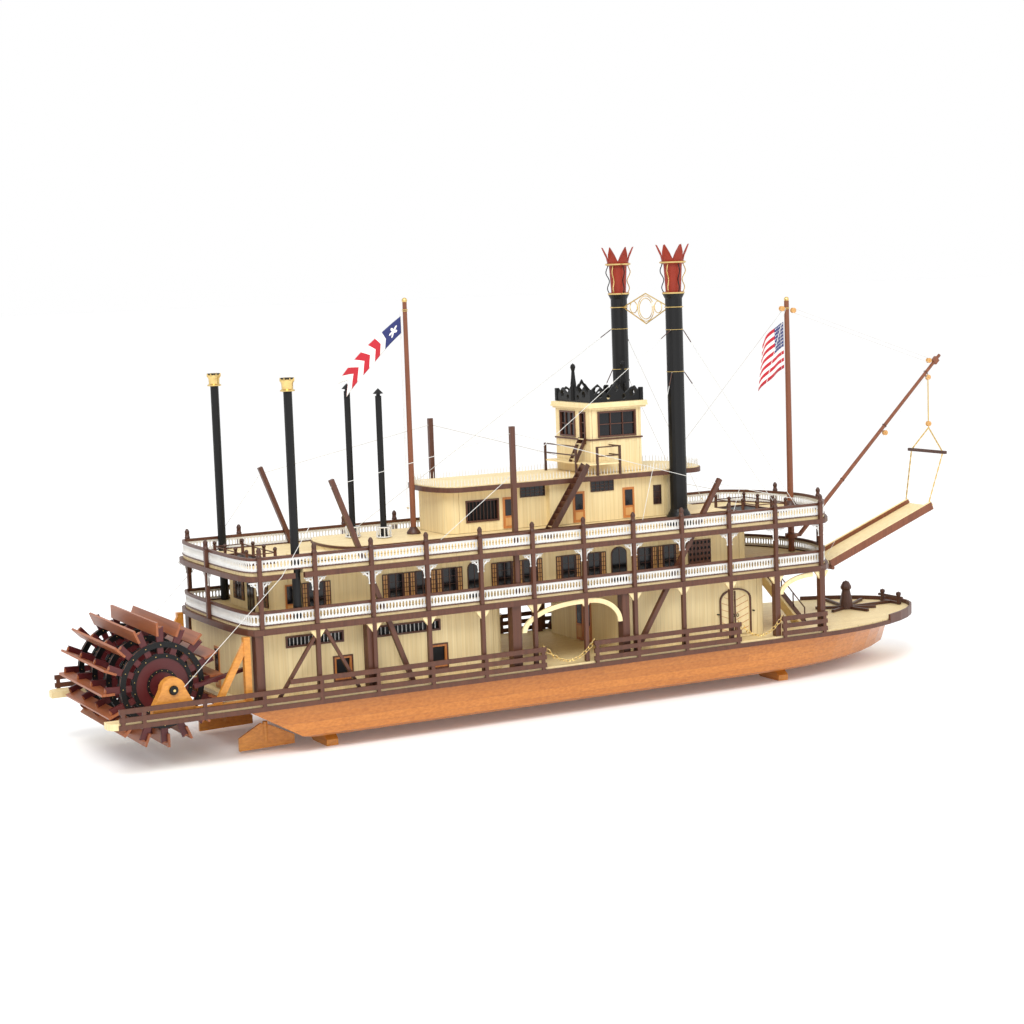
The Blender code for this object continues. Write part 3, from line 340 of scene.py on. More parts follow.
FINISHES = {
    made.name: made
    for made in (
        Wood("hull_planks", (0.60, 0.220, 0.036), (0.40, 0.120, 0.014), Grain.ALONG_HULL, 0.38, 0.35, 0.0058, 0.21,
             0.30, 0.22),
        Wood("deck_planks", CREAM, CREAM_SHADE, Grain.ALONG_DECK, 0.55, 0.0, 0.0043, 0.12, 0.35, 0.10),
        Wood("wall_boards", CREAM, CREAM_SHADE, Grain.UPRIGHT, 0.55, 0.0, 0.0036, 0.20, 0.22, 0.09),
        Wood("cream_board", CREAM, CREAM_SHADE, Grain.ALONG_DECK),
        Wood("trim_along", BROWN, BROWN_SHADE, Grain.ALONG_DECK, 0.45),
        Wood("trim_upright", BROWN, BROWN_SHADE, Grain.UPRIGHT, 0.45),
        Wood("window_frame", (0.075, 0.024, 0.011), (0.036, 0.012, 0.006), Grain.UPRIGHT, 0.45),
        Wood("door_wood", (0.56, 0.205, 0.045), (0.36, 0.105, 0.020), Grain.UPRIGHT, 0.45),
        Wood("shutter_wood", (0.66, 0.36, 0.12), (0.50, 0.23, 0.065), Grain.UPRIGHT, 0.5),
        Wood("cradle_wood", (0.66, 0.280, 0.042), (0.44, 0.150, 0.020), Grain.ALONG_HULL, 0.42, 0.2),
        Wood("mast_wood", (0.22, 0.068, 0.026), (0.120, 0.034, 0.013), Grain.UPRIGHT, 0.42),
        Wood("sapele", (0.35, 0.110, 0.038), (0.21, 0.056, 0.019), Grain.ATHWART, 0.42),
        Paint("arm_red", (0.090, 0.009, 0.010), 0.4),
        Paint("satin_black", (0.0045, 0.0045, 0.0048), 0.42, mottle=0.2, gloss=0.3),
        Paint("pane_black", (0.006, 0.006, 0.008), 0.12, mottle=0.2, gloss=0.4),
        StackPaint("stack_paint", (0.0045, 0.0045, 0.0048), (0.30, 0.030, 0.012), 0.3143),
        Paint("white_metal", (0.80, 0.79, 0.76), 0.42),
        Paint("white_line", (0.74, 0.73, 0.69), 0.6),
        Paint("crown_red", (0.34, 0.028, 0.014), 0.42),
        Metal("brass", (0.83, 0.60, 0.24)),
    )
}
MADE: dict[str, bpy.types.Material] = {}


def finish(name: str) -> bpy.types.Material:
    """The named finish's material, made the first time that it is asked for."""
    if name not in MADE:
        MADE[name] = FINISHES[name].make()
    return MADE[name]


# Shapes, each a small bmesh of its own

def box_shape(low: Point, high: Point, edge: float = 0.0) -> bmesh.types.BMesh:
    """A box between two corners.

    Args:
        low: the corner with the lowest coordinates.
        high: the opposite corner.
        edge: width of the bevel on every edge, or 0.

    Returns:
        The shape.
    """
    shape = bmesh.new()
    low, high = Vector(low), Vector(high)
    bmesh.ops.create_cube(shape, size=1.0, matrix=Matrix.LocRotScale((low + high) / 2, None, high - low))
    if edge:
        bmesh.ops.bevel(shape, geom=shape.edges[:], offset=edge, segments=1, profile=0.5, affect="EDGES",
                        material=-1)
    return shape


def between(start: Point, end: Point, width: float, depth: float) -> Matrix:
    """A unit cube's or cone's place along a line, its second axis kept as upright as it can be."""
    start, end = Vector(start), Vector(end)
    along = end - start
    return Matrix.LocRotScale((start + end) / 2, along.to_track_quat("Z", "Y"), (width, depth, along.length))


def bar_shape(start: Point, end: Point, width: float, depth: float) -> bmesh.types.BMesh:
    """A square bar from one point to another."""
    shape = bmesh.new()
    bmesh.ops.create_cube(shape, size=1.0, matrix=between(start, end, width, depth))
    return shape


def rod_shape(start: Point, end: Point, radius: float, end_radius: float | None = None,
              sides: int = 8) -> bmesh.types.BMesh:
    """A round rod, tapered if it has an end radius.

    Args:
        start: centre of the first end.
        end: centre of the other end.
        radius: radius at the first end.
        end_radius: radius at the other end, or None for the same.
        sides: how many sides the rod has.

    Returns:
        The shape.
    """
    shape = bmesh.new()
    last = radius if end_radius is None else end_radius
    bmesh.ops.create_cone(shape, cap_ends=True, segments=sides, radius1=radius, radius2=last, depth=1.0,
                          matrix=between(start, end, 1.0, 1.0))
    return shape


def ball_shape(centre: Point, radius: float, steps: int = 8) -> bmesh.types.BMesh:
    """A ball."""
    shape = bmesh.new()
    bmesh.ops.create_uvsphere(shape, u_segments=steps, v_segments=max(steps - 2, 4), radius=radius,
                              matrix=Matrix.Translation(centre))
    return shape


def turned_shape(profile: Sequence[Flat], centre: Point, steps: int = 12) -> bmesh.types.BMesh:
    """A turned shape about an upright axis.

    Args:
        profile: radius and height of each corner; a radius of 0 at an end closes it.
        centre: where the axis stands.
        steps: how many sides the turning has.

    Returns:
        The shape.
    """
    shape = bmesh.new()
    verts = [shape.verts.new((radius, 0.0, height)) for radius, height in profile]
    edges = [shape.edges.new(pair) for pair in zip(verts, verts[1:])]
    bmesh.ops.spin(shape, geom=verts + edges, cent=(0, 0, 0), axis=(0, 0, 1), angle=2 * math.pi, steps=steps,
                   use_merge=True)
    bmesh.ops.remove_doubles(shape, verts=shape.verts, dist=1e-6)
    bmesh.ops.translate(shape, vec=centre, verts=shape.verts)
    return shape


def ring_shape(radius: float, thickness: float, steps: int = 16, sides: int = 5) -> bmesh.types.BMesh:
    """A round ring in the XY plane."""
    shape = bmesh.new()
    stand = Matrix.Translation((radius, 0, 0)) @ Matrix.Rotation(math.pi / 2, 4, "X")
    bmesh.ops.create_circle(shape, cap_ends=False, radius=thickness, segments=sides, matrix=stand)
    bmesh.ops.spin(shape, geom=shape.verts[:] + shape.edges[:], cent=(0, 0, 0), axis=(0, 0, 1),
                   angle=2 * math.pi, steps=steps, use_merge=True)
    bmesh.ops.remove_doubles(shape, verts=shape.verts, dist=1e-6)
    return shape


def plate_shape(outline: Sequence[Flat], low: float, high: float,
                holes: Iterable[Sequence[Flat]] = ()) -> bmesh.types.BMesh:
    """A flat plate cut to an outline in the XY plane.

    Args:
        outline: the outer corners in order.
        low: height of the lower face.
        high: height of the upper face.
        holes: the outlines of any holes.

    Returns:
        The shape.
    """
    shape = bmesh.new()
    for loop in [outline, *holes]:
        verts = [shape.verts.new((x, y, low)) for x, y in loop]
        for first, second in zip(verts, verts[1:] + verts[:1]):
            shape.edges.new((first, second))
    if len(shape.verts) == len(outline):
        bmesh.ops.contextual_create(shape, geom=shape.edges[:])
    else:
        bmesh.ops.triangle_fill(shape, use_beauty=True, use_dissolve=False, edges=shape.edges[:])
    grown = bmesh.ops.extrude_face_region(shape, geom=shape.faces[:])["geom"]
    raised = [item for item in grown if isinstance(item, bmesh.types.BMVert)]
    bmesh.ops.translate(shape, vec=(0, 0, high - low), verts=raised)
    return shape


def wire_shape(points: Sequence[Point], radius: float, sides: int = 5) -> bmesh.types.BMesh:
    """A round wire bent along a run of points.

    Args:
        points: the middle of the wire.
        radius: the wire's radius.
        sides: how many sides it has.

    Returns:
        The shape, closed at both ends.
    """
    shape = bmesh.new()
    run = [Vector(point) for point in points]
    tangents = [(run[min(i + 1, len(run) - 1)] - run[max(i - 1, 0)]).normalized() for i in range(len(run))]
    turn = tangents[0].to_track_quat("Z", "Y")
    here = Matrix.LocRotScale(run[0], turn, None)
    bmesh.ops.create_circle(shape, cap_ends=True, radius=radius, segments=sides, matrix=here)
    faces = shape.faces[:]
    for index in range(1, len(run)):
        turn = tangents[index - 1].rotation_difference(tangents[index]) @ turn
        there = Matrix.LocRotScale(run[index], turn, None)
        grown = bmesh.ops.extrude_face_region(shape, geom=faces)["geom"]
        faces = [item for item in grown if isinstance(item, bmesh.types.BMFace)]
        moved = [item for item in grown if isinstance(item, bmesh.types.BMVert)]
        bmesh.ops.transform(shape, matrix=there @ here.inverted(), verts=moved)
        here = there
    return shape


def arc(centre: Flat, radii: Flat, start: float, end: float, steps: int) -> list[Flat]:
    """Points on an ellipse from one angle to another, in degrees."""
    turns = [math.radians(start + (end - start) * step / steps) for step in range(steps + 1)]
    return [(centre[0] + radii[0] * math.cos(turn), centre[1] + radii[1] * math.sin(turn)) for turn in turns]


class Piece:
    """Many shapes gathered in one mesh that rides on one body."""

    def __init__(self, name: str, finishes: Sequence[str], slot: str, body: str = "hull") -> None:
        """Starts an empty piece.

        Args:
            name: the piece's name.
            finishes: the names of its finishes; add() picks one of them.
            slot: the record's material slot that the piece belongs to; not used.
            body: the body that the piece rides on.
        """
        self.name = name
        self.finishes = list(finishes)
        self.slot = slot
        self.body = body
        self.gathered = bmesh.new()

    def add(self, shape: bmesh.types.BMesh, name: str | None = None, place: Matrix = NO_TURN) -> None:
        """Lays a shape in the piece and frees it.

        Args:
            shape: the shape.
            name: its finish, or None for the piece's first.
            place: where the shape goes.
        """
        index = 0 if name is None else self.finishes.index(name)
        for face in shape.faces:
            face.material_index = index
        bmesh.ops.transform(shape, matrix=place, verts=shape.verts)
        laid = bpy.data.meshes.new("laid")
        shape.to_mesh(laid)
        shape.free()
        self.gathered.from_mesh(laid)
        bpy.data.meshes.remove(laid)

    def repeat(self, pattern: "Piece", places: Iterable[Matrix]) -> None:
        """Lays copies of another piece's shapes, which has the same finishes, and frees it."""
        laid = bpy.data.meshes.new("pattern")
        pattern.gathered.to_mesh(laid)
        pattern.gathered.free()
        for place in places:
            copy = laid.copy()
            copy.transform(place)
            self.gathered.from_mesh(copy)
            bpy.data.meshes.remove(copy)
        bpy.data.meshes.remove(laid)

    def done(self, smooth: float = 35.0, replaces: Sequence[str] = ()) -> bpy.types.Object:
        """Makes the object.

        Args:
            smooth: edges that turn by less than this many degrees are shaded smooth.
            replaces: the CAD nodes that the piece stands for.

        Returns:
            The finished piece, riding on its body.
        """
        bmesh.ops.recalc_face_normals(self.gathered, faces=self.gathered.faces)
        mesh = bpy.data.meshes.new(self.name)
        self.gathered.to_mesh(mesh)
        self.gathered.free()
        for name in self.finishes:
            mesh.materials.append(finish(name))
        mesh.shade_smooth()
        mesh.set_sharp_from_angle(angle=math.radians(smooth))
        made = bpy.data.objects.new(self.name, mesh)
        bpy.context.scene.collection.objects.link(made)
        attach(made, self.body)
        if replaces:
            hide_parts(*replaces)
        LOG.info("%s: %d faces on %s", self.name, len(mesh.polygons), self.body)
        return made


def side_wall(sign: int, half: float) -> Matrix:
    """Places a drawing of (along, up, out) on the outer face of a side wall."""
    return Matrix(((1, 0, 0, 0), (0, 0, sign, sign * half), (0, 1, 0, 0), (0, 0, 0, 1)))


def end_wall(x: float, facing: int) -> Matrix:
    """Places a drawing of (athwart, up, out) on the face of an end wall that looks aft or forward."""
    return Matrix(((0, 0, facing, x), (1, 0, 0, 0), (0, 1, 0, 0), (0, 0, 0, 1)))


# Plan of the upper decks

def superellipse_end(start: float, depth: float, half: float, power: float, steps: int) -> list[Flat]:
    """Half of a superellipse in plan, from -half to +half."""
    points = []
    for step in range(steps + 1):
        turn = math.pi * (step / steps - 0.5)
        across = math.copysign(abs(math.sin(turn)) ** (2 / power), turn)
        along = abs(math.cos(turn)) ** (2 / power)
        points.append((start + depth * along, half * across))
    return points


def gallery_outline(inset: float, steps: int = 48) -> list[Flat]:
    """The upper decks' edge, that far inside the middle of the posts, round from the starboard bow."""
    half = POST_HALF - inset
    bow = superellipse_end(station(GALLERY_BOW[0]), GALLERY_BOW[1] - inset, half, GALLERY_BOW[2], steps)
    stern = superellipse_end(-station(GALLERY_STERN[0]), GALLERY_STERN[1] - inset, half, GALLERY_STERN[2], steps)
    return bow + [(-x, -y) for x, y in stern]


def walk(outline: Sequence[Flat], pitch: float) -> list[tuple[Vector, float]]:
    """Evenly spaced places round a closed outline.

    Args:
        outline: the corners in order.
        pitch: the distance between places, stretched a little so that they fit.

    Returns:
        Each place and the direction of the outline there, as an angle.
    """
    corners = [Vector(corner) for corner in outline]
    closed = corners + corners[:1]
    lengths = [(second - first).length for first, second in zip(closed, closed[1:])]
    count = max(round(sum(lengths) / pitch), 3)
    step = sum(lengths) / count
    places, edge, done = [], 0, 0.0
    for number in range(count):
        wanted = number * step
        while done + lengths[edge] < wanted:
            done += lengths[edge]
            edge += 1
        first, second = closed[edge], closed[edge + 1]
        along = (second - first).normalized()
        places.append((first + along * (wanted - done), math.atan2(along.y, along.x)))
    return places


def gallery_posts() -> list[tuple[Flat, float]]:
    """Each upper post's place in plan and the direction of the deck's edge there."""
    places = [((station(number), sign * POST_HALF), 0.0) for number in range(11) for sign in (-1, 1)]
    bow_y = 0.70 * BAY
    share = (1 - (bow_y / POST_HALF) ** GALLERY_BOW[2]) ** (1 / GALLERY_BOW[2])
    bow_x = station(GALLERY_BOW[0]) + GALLERY_BOW[1] * share
    places += [((bow_x, sign * bow_y), -sign * math.radians(52)) for sign in (-1, 1)]
    places += [((station(GALLERY_STERN[0]), sign * POST_HALF), 0.0) for sign in (-1, 1)]
    return places + [((station(GALLERY_STERN[0]) - GALLERY_STERN[1], 0.0), math.pi / 2)]


@dataclass
class Galleries:
    """White balustrades, cap rails, finials and brackets of the two upper decks."""

    pitch: float = 0.00256
    band: float = 0.0014
    cap: float = 0.0017
    inset: float = POST_SIDE / 2 + 0.0009
    decks: tuple[tuple[str, float, float], ...] = (
        ("boiler", BOILER_DECK_TOP, BOILER_RAIL_TOP),
        ("hurricane", HURRICANE_DECK_TOP, HURRICANE_RAIL_TOP),
    )

    def build(self) -> None:
        """Builds all of it."""
        for name, floor, top in self.decks:
            self.build_balustrade(name, floor, top)
        self.build_finials()
        self.build_brackets()

    def band_shape(self, low: float, high: float, half_width: float) -> bmesh.types.BMesh:
        """A band that follows the deck's edge."""
        outer = gallery_outline(self.inset - half_width)
        inner = gallery_outline(self.inset + half_width)
        return plate_shape(outer, low, high, holes=[inner])

    def baluster(self, foot: float, head: float) -> Piece:
        """One flat baluster that leaves an oval gap to its neighbour, with the bead over it."""
        pattern = Piece("baluster", ["white_metal"], "white_metal")
        middle, half = (foot + head) / 2, (head - foot) / 2
        wide, thin, thick = self.pitch * 0.46, 0.00042, 0.00030
        right = [
            (thin + (wide - thin) * abs(share) ** 3.0, middle + half * share)
            for share in (-1.0, -0.75, -0.5, 0.0, 0.5, 0.75, 1.0)
        ]
        outline = right + [(-x, z) for x, z in reversed(right)]
        stand = Matrix.Rotation(math.pi / 2, 4, "X")
        pattern.add(plate_shape(outline, -thick, thick), place=stand)
        for height in (foot - self.band + 0.0002, head + self.band - 0.0002):
            bead = rod_shape((0, -0.0007, height), (0, 0.0007, height), 0.0006, sides=6)
            pattern.add(bead)
        return pattern

    def build_balustrade(self, name: str, floor: float, top: float) -> None:
        """Bands, balusters and cap of one deck's balustrade."""
        foot, head = floor + 0.0010, top - self.cap
        rail = Piece(f"{name}_balusters", ["white_metal"], "white_metal")
        rail.add(self.band_shape(foot, foot + self.band, 0.0005))
        rail.add(self.band_shape(head - self.band, head, 0.0005))
        places = [
            Matrix.Translation((at.x, at.y, 0)) @ Matrix.Rotation(turn, 4, "Z")
            for at, turn in walk(gallery_outline(self.inset), self.pitch)
        ]
        rail.repeat(self.baluster(foot + self.band, head - self.band), places)
        rail.done(smooth=20.0, replaces=[f"{name}_balustrade"])
        cap = Piece(f"{name}_cap_rail", ["trim_along"], "trim_wood")
        cap.add(self.band_shape(top - self.cap, top + 0.0003, 0.0010))
        cap.add(self.band_shape(floor + 0.0001, foot - 0.0001, 0.0014))
        cap.done()

    def build_finials(self) -> None:
        """A dark turned knob on every post."""
        knobs = Piece("post_finials", ["window_frame"], "dark_wood")
        pattern = Piece("knob", ["window_frame"], "dark_wood")
        base = HURRICANE_RAIL_TOP + 0.0004
        profile = [(0.0, 0.0073), (0.0010, 0.0068), (0.0019, 0.0050), (0.0017, 0.0034), (0.0009, 0.0024),
                   (0.0017, 0.0018), (0.0021, 0.0008), (0.0021, 0.0), (0.0, 0.0)]
        pattern.add(turned_shape(profile, (0, 0, 0), 10))
        knobs.repeat(pattern, [Matrix.Translation((x, y, base)) for (x, y), _ in gallery_posts()])
        knobs.done()

    def bracket(self) -> Piece:
        """A white scroll bracket drawn in (along, up), its post at the left and the fascia above."""
        pattern = Piece("scroll", ["white_metal"], "white_metal")
        wire = 0.00036
        lines = [
            [(0.0006, -0.0088), (0.0006, 0.0)],
            [(0.0006, -0.0007), (0.0070, -0.0007)],
            arc((0.0070, -0.0070), (0.0062, 0.0063), 180, 92, 7),
            arc((0.0022, -0.0023), (0.0013, 0.0013), 0, 360, 8),
            arc((0.0047, -0.0017), (0.0009, 0.0009), 0, 360, 7),
        ]
        for line in lines:
            pattern.add(wire_shape([(x, 0, z) for x, z in line], wire, 4))
        pattern.add(ball_shape((0.0007, 0, -0.0091), 0.0007, 6))
        return pattern

    def build_brackets(self) -> None:
        """Scroll brackets under the hurricane deck and cream corner blocks under the boiler deck."""
        scrolls = Piece("scroll_brackets", ["white_metal"], "white_metal")
        places = []
        for (x, y), turn in gallery_posts():
            spot = Matrix.Translation((x, y, HURRICANE_FASCIA[0])) @ Matrix.Rotation(turn, 4, "Z")
            for facing in (-1, 1):
                if abs(y) < POST_HALF or -0.5 < (x - station(GALLERY_STERN[0])) * facing:
                    shift = Matrix.Translation((facing * POST_SIDE / 2, 0, 0))
                    places.append(spot @ shift @ Matrix.Diagonal((facing, 1, 1, 1)))
        scrolls.repeat(self.bracket(), places)
        scrolls.done(smooth=60.0)
        blocks = Piece("corner_blocks", ["cream_board"], "deck_wood")
        top = BOILER_FASCIA[0] - 0.0001
        for number in range(11):
            half = POST_SIDE / 2 * (1.6 if number >= 9 else 1.0)
            for _, sign in SIDES:
                for facing in (-1, 1):
                    edge = station(number) + facing * half
                    corner = [(edge, top), (edge + facing * 0.0043, top), (edge, top - 0.0060)]
                    blocks.add(plate_shape(corner, -0.0028, -0.0008), place=side_wall(sign, POST_HALF + 0.0015))
        blocks.done()


@dataclass
class Joinery:
    """Windows, shutters and doors set on the outer faces of the houses."""

    frame_width: float = 0.0010
    proud: float = 0.0007
    finishes: tuple[str, ...] = (
        "window_frame", "pane_black", "shutter_wood", "door_wood", "white_metal", "cream_board", "satin_black",
        "brass", "trim_upright",
    )
    saloon_windows: tuple[Flat, ...] = (
        (0.10, 0.35), (1.55, 1.78), (2.05, 2.28), (2.55, 2.78), (3.60, 3.84), (4.10, 4.33), (4.87, 5.10),
        (5.39, 5.61), (6.43, 6.67), (6.95, 7.16),
    )
    saloon_doors: tuple[Flat, ...] = ((3.03, 3.24), (5.87, 6.15))
    shutter: float = 0.0046

    def build(self) -> None:
        """Builds the joinery of every house."""
        self.build_saloon()
        self.build_engine_house()
        self.build_fore_house()
        self.build_texas()
        self.build_pilot_house()

    def border(self, piece: Piece, place: Matrix, box: tuple[float, float, float, float], width: float,
               name: str, out: float, back: float = 0.0) -> None:
        """Four strips round a box drawn on a wall.

        Args:
            piece: the piece that takes them.
            place: the wall.
            box: left, right, foot and head of the opening inside the strips.
            width: the strips' width.
            name: their finish.
            out: how far they stand out of the wall.
            back: how far they reach into it.
        """
        left, right, foot, head = box
        for low, high in (
            ((left - width, foot - width), (left, head + width)),
            ((right, foot - width), (right + width, head + width)),
            ((left, head), (right, head + width)),
            ((left, foot - width), (right, foot)),
        ):
            piece.add(box_shape((*low, -back), (*high, out)), name, place)

    def lattice(self, piece: Piece, place: Matrix, box: tuple[float, float, float, float], cells: tuple[int, int],
                name: str, width: float, out: float) -> None:
        """Thin bars that part a box into cells.

        Args:
            piece: the piece that takes them.
            place: the wall.
            box: left, right, foot and head.
            cells: how many across and up.
            name: the bars' finish.
            width: the bars' width.
            out: how far they stand out of the wall.
        """
        left, right, foot, head = box
        for number in range(1, cells[0]):
            x = left + (right - left) * number / cells[0]
            piece.add(box_shape((x - width / 2, foot, 0), (x + width / 2, head, out)), name, place)
        for number in range(1, cells[1]):
            z = foot + (head - foot) * number / cells[1]
            piece.add(box_shape((left, z - width / 2, 0), (right, z + width / 2, out)), name, place)

    def window(self, piece: Piece, place: Matrix, box: tuple[float, float, float, float],
               cells: tuple[int, int] = (2, 3)) -> None:
        """A black pane in a dark frame with thin bars."""
        left, right, foot, head = box
        piece.add(box_shape((left, foot, 0.00002), (right, head, 0.0003)), "pane_black", place)
        self.border(piece, place, box, self.frame_width * 0.8, "window_frame", self.proud)
        middle = (left + right) / 2
        piece.add(box_shape((middle - 0.0004, foot, 0), (middle + 0.0004, head, 0.0006)), "window_frame", place)
        self.lattice(piece, place, (left, middle, foot, head), (1, cells[1]), "window_frame", 0.00028, 0.00045)
        self.lattice(piece, place, (middle, right, foot, head), (1, cells[1]), "window_frame", 0.00028, 0.00045)

    def shutter_leaf(self, piece: Piece, place: Matrix, box: tuple[float, float, float, float]) -> None:
        """A shutter of pale panels between brown bars."""
        left, right, foot, head = box
        inside = (left + 0.0007, right - 0.0007, foot + 0.0007, head - 0.0007)
        piece.add(box_shape((left, foot, 0.00002), (right, head, 0.0006)), "shutter_wood", place)
        self.border(piece, place, inside, 0.0007, "window_frame", 0.0009)
        self.lattice(piece, place, inside, (2, 5), "window_frame", 0.00045, 0.00085)

    def arched_door(self, piece: Piece, place: Matrix, span: Flat, foot: float, head: float) -> None:
        """A black door with a round head in a dark frame.

        Args:
            piece: the piece that takes it.
            place: the wall.
            span: left and right of the door.
            foot: height of its foot.
            head: height of the top of its arch.
        """
        left, right = span
        middle, half = (left + right) / 2, (right - left) / 2
        rise = min(half, 0.0045)
        inner = [(left, foot), (right, foot)] + arc((middle, head - rise), (half, rise), 0, 180, 10)
        grow = 0.0009
        outer = [(left - grow, foot), (right + grow, foot)]
        outer += arc((middle, head - rise), (half + grow, rise + grow), 0, 180, 10)
        piece.add(plate_shape(outer, 0.00002, 0.0006), "window_frame", place)
        piece.add(plate_shape(inner, 0.0006, 0.0008), "pane_black", place)
        piece.add(box_shape((middle - 0.0002, foot, 0.0008), (middle + 0.0002, head - 0.0004, 0.0011)),
                  "window_frame", place)

    def panelled_door(self, piece: Piece, place: Matrix, box: tuple[float, float, float, float]) -> None:
        """A door with a dark outer frame, an orange inner frame and a dark upper pane."""
        left, right, foot, head = box
        piece.add(box_shape((left, foot, 0.00002), (right, head, 0.0005)), "door_wood", place)
        inset = (right - left) * 0.20
        waist = foot + (head - foot) * 0.42
        upper = (left + inset, right - inset, waist, head - inset)
        lower = (left + inset, right - inset, foot + inset, waist - inset)
        piece.add(box_shape((upper[0], upper[2], 0.0004), (upper[1], upper[3], 0.0006)), "pane_black", place)
        piece.add(box_shape((lower[0], lower[2], 0.0004), (lower[1], lower[3], 0.0008)), "shutter_wood", place)
        self.border(piece, place, upper, 0.0003, "window_frame", 0.0008)
        piece.add(ball_shape((right - 0.0008, waist - 0.0006, 0.0010), 0.0005, 6), "brass", place)

    def build_saloon(self) -> None:
        """Paired windows with shutters and arched doors along both sides, and the doors of the ends."""
        piece = Piece("saloon_joinery", self.finishes, "dark_wood")
        foot, head = BOILER_DECK_TOP + 0.0068, 0.1185
        for _, sign in SIDES:
            place = side_wall(sign, SALOON_HALF + WALL / 2)
            for left, right in self.saloon_windows:
                left, right = station(left), station(right)
                self.window(piece, place, (left, right, foot, head))
                for start in (left - self.shutter - 0.0011, right + 0.0011):
                    self.shutter_leaf(piece, place, (start, start + self.shutter, foot - 0.0006, head + 0.0006))
            for left, right in self.saloon_doors:
                span = (station(left), station(right))
                self.arched_door(piece, place, span, BOILER_DECK_TOP + 0.0004, 0.1208)
            left = station(-0.16)
            self.panelled_door(piece, place, (left - 0.0070, left, BOILER_DECK_TOP + 0.0010, 0.1190))
            self.pierced_panel(piece, place, (station(7.46), station(7.94), 0.0985, 0.1205))
        for x, facing in ((-0.45, -1), (8.75, 1)):
            place = end_wall(station(x) + facing * WALL / 2, facing)
            for middle in (-0.0240, 0.0240):
                self.window(piece, place, (middle - 0.0050, middle + 0.0050, foot, head))
                for start in (middle - 0.0061 - self.shutter, middle + 0.0061):
                    self.shutter_leaf(piece, place, (start, start + self.shutter, foot - 0.0006, head + 0.0006))
            self.arched_door(piece, place, (-0.0058, 0.0058), BOILER_DECK_TOP + 0.0004, 0.1212)
        piece.done(smooth=30.0)

    def pierced_panel(self, piece: Piece, place: Matrix, box: tuple[float, float, float, float]) -> None:
        """A dark red-brown screen with rows of round holes, over a black back."""
        left, right, foot, head = box
        columns, rows = 6, 5
        holes = []
        for column in range(columns):
            for row in range(rows):
                centre = (left + (right - left) * (column + 0.5) / columns, foot + (head - foot) * (row + 0.5) / rows)
                holes.append(arc(centre, (0.00115, 0.00135), 0, 315, 7))
        outline = [(left, foot), (right, foot), (right, head), (left, head)]
        piece.add(plate_shape(outline, 0.0003, 0.0009, holes), "trim_upright", place)
        piece.add(box_shape((left, foot, 0.00002), (right, head, 0.0003)), "satin_black", place)

    def barred_opening(self, piece: Piece, place: Matrix, box: tuple[float, float, float, float], bars: int,
                       name: str) -> None:
        """A cut window with a black back, a brown frame and upright bars."""
        left, right, foot, head = box
        piece.add(box_shape((left - 0.0008, foot - 0.0008, -0.0022), (right + 0.0008, head + 0.0008, -0.0019)),
                  "satin_black", place)
        self.border(piece, place, (left + 0.0007, right - 0.0007, foot + 0.0006, head - 0.0006), 0.0013,
                    "trim_upright", 0.0007, 0.0015)
        for number in range(1, bars):
            x = left + (right - left) * number / bars
            piece.add(box_shape((x - 0.00022, foot, -0.0012), (x + 0.00022, head, -0.0006)), name, place)

    def build_engine_house(self) -> None:
        """Barred windows and framed doors in the aft house's cut openings."""
        piece = Piece("engine_house_joinery", self.finishes, "dark_wood")
        for _, sign in SIDES:
            place = side_wall(sign, MAIN_HOUSE_HALF + WALL / 2)
            for left, right in ((-0.42, 0.58), (1.20, 2.35)):
                self.barred_opening(piece, place, (station(left), station(right), 0.0760, 0.0830), 15, "white_metal")
            for left, right in ((0.42, 0.70), (2.15, 2.45)):
                left, right, foot, head = station(left), station(right), 0.0486, 0.0640
                piece.add(box_shape((left, foot, -0.0016), (right, head, -0.0012)), "satin_black", place)
                self.border(piece, place, (left + 0.0008, right - 0.0008, foot + 0.0008, head - 0.0008), 0.0014,
                            "door_wood", 0.0006, 0.0015)
                self.border(piece, place, (left - 0.0006, right + 0.0006, foot - 0.0006, head + 0.0006), 0.0010,
                            "trim_upright", 0.0010)
        place = end_wall(station(3.55) + WALL / 2, 1)
        self.panelled_door(piece, place, (-0.0280, -0.0180, DECK_TOP + 0.0010, 0.0720))
        self.panelled_door(piece, place, (0.0180, 0.0280, DECK_TOP + 0.0010, 0.0720))
        place = end_wall(station(-1.10) - WALL / 2, -1)
        self.panelled_door(piece, place, (-0.0050, 0.0050, DECK_TOP + 0.0010, 0.0720))
        piece.done(smooth=30.0)

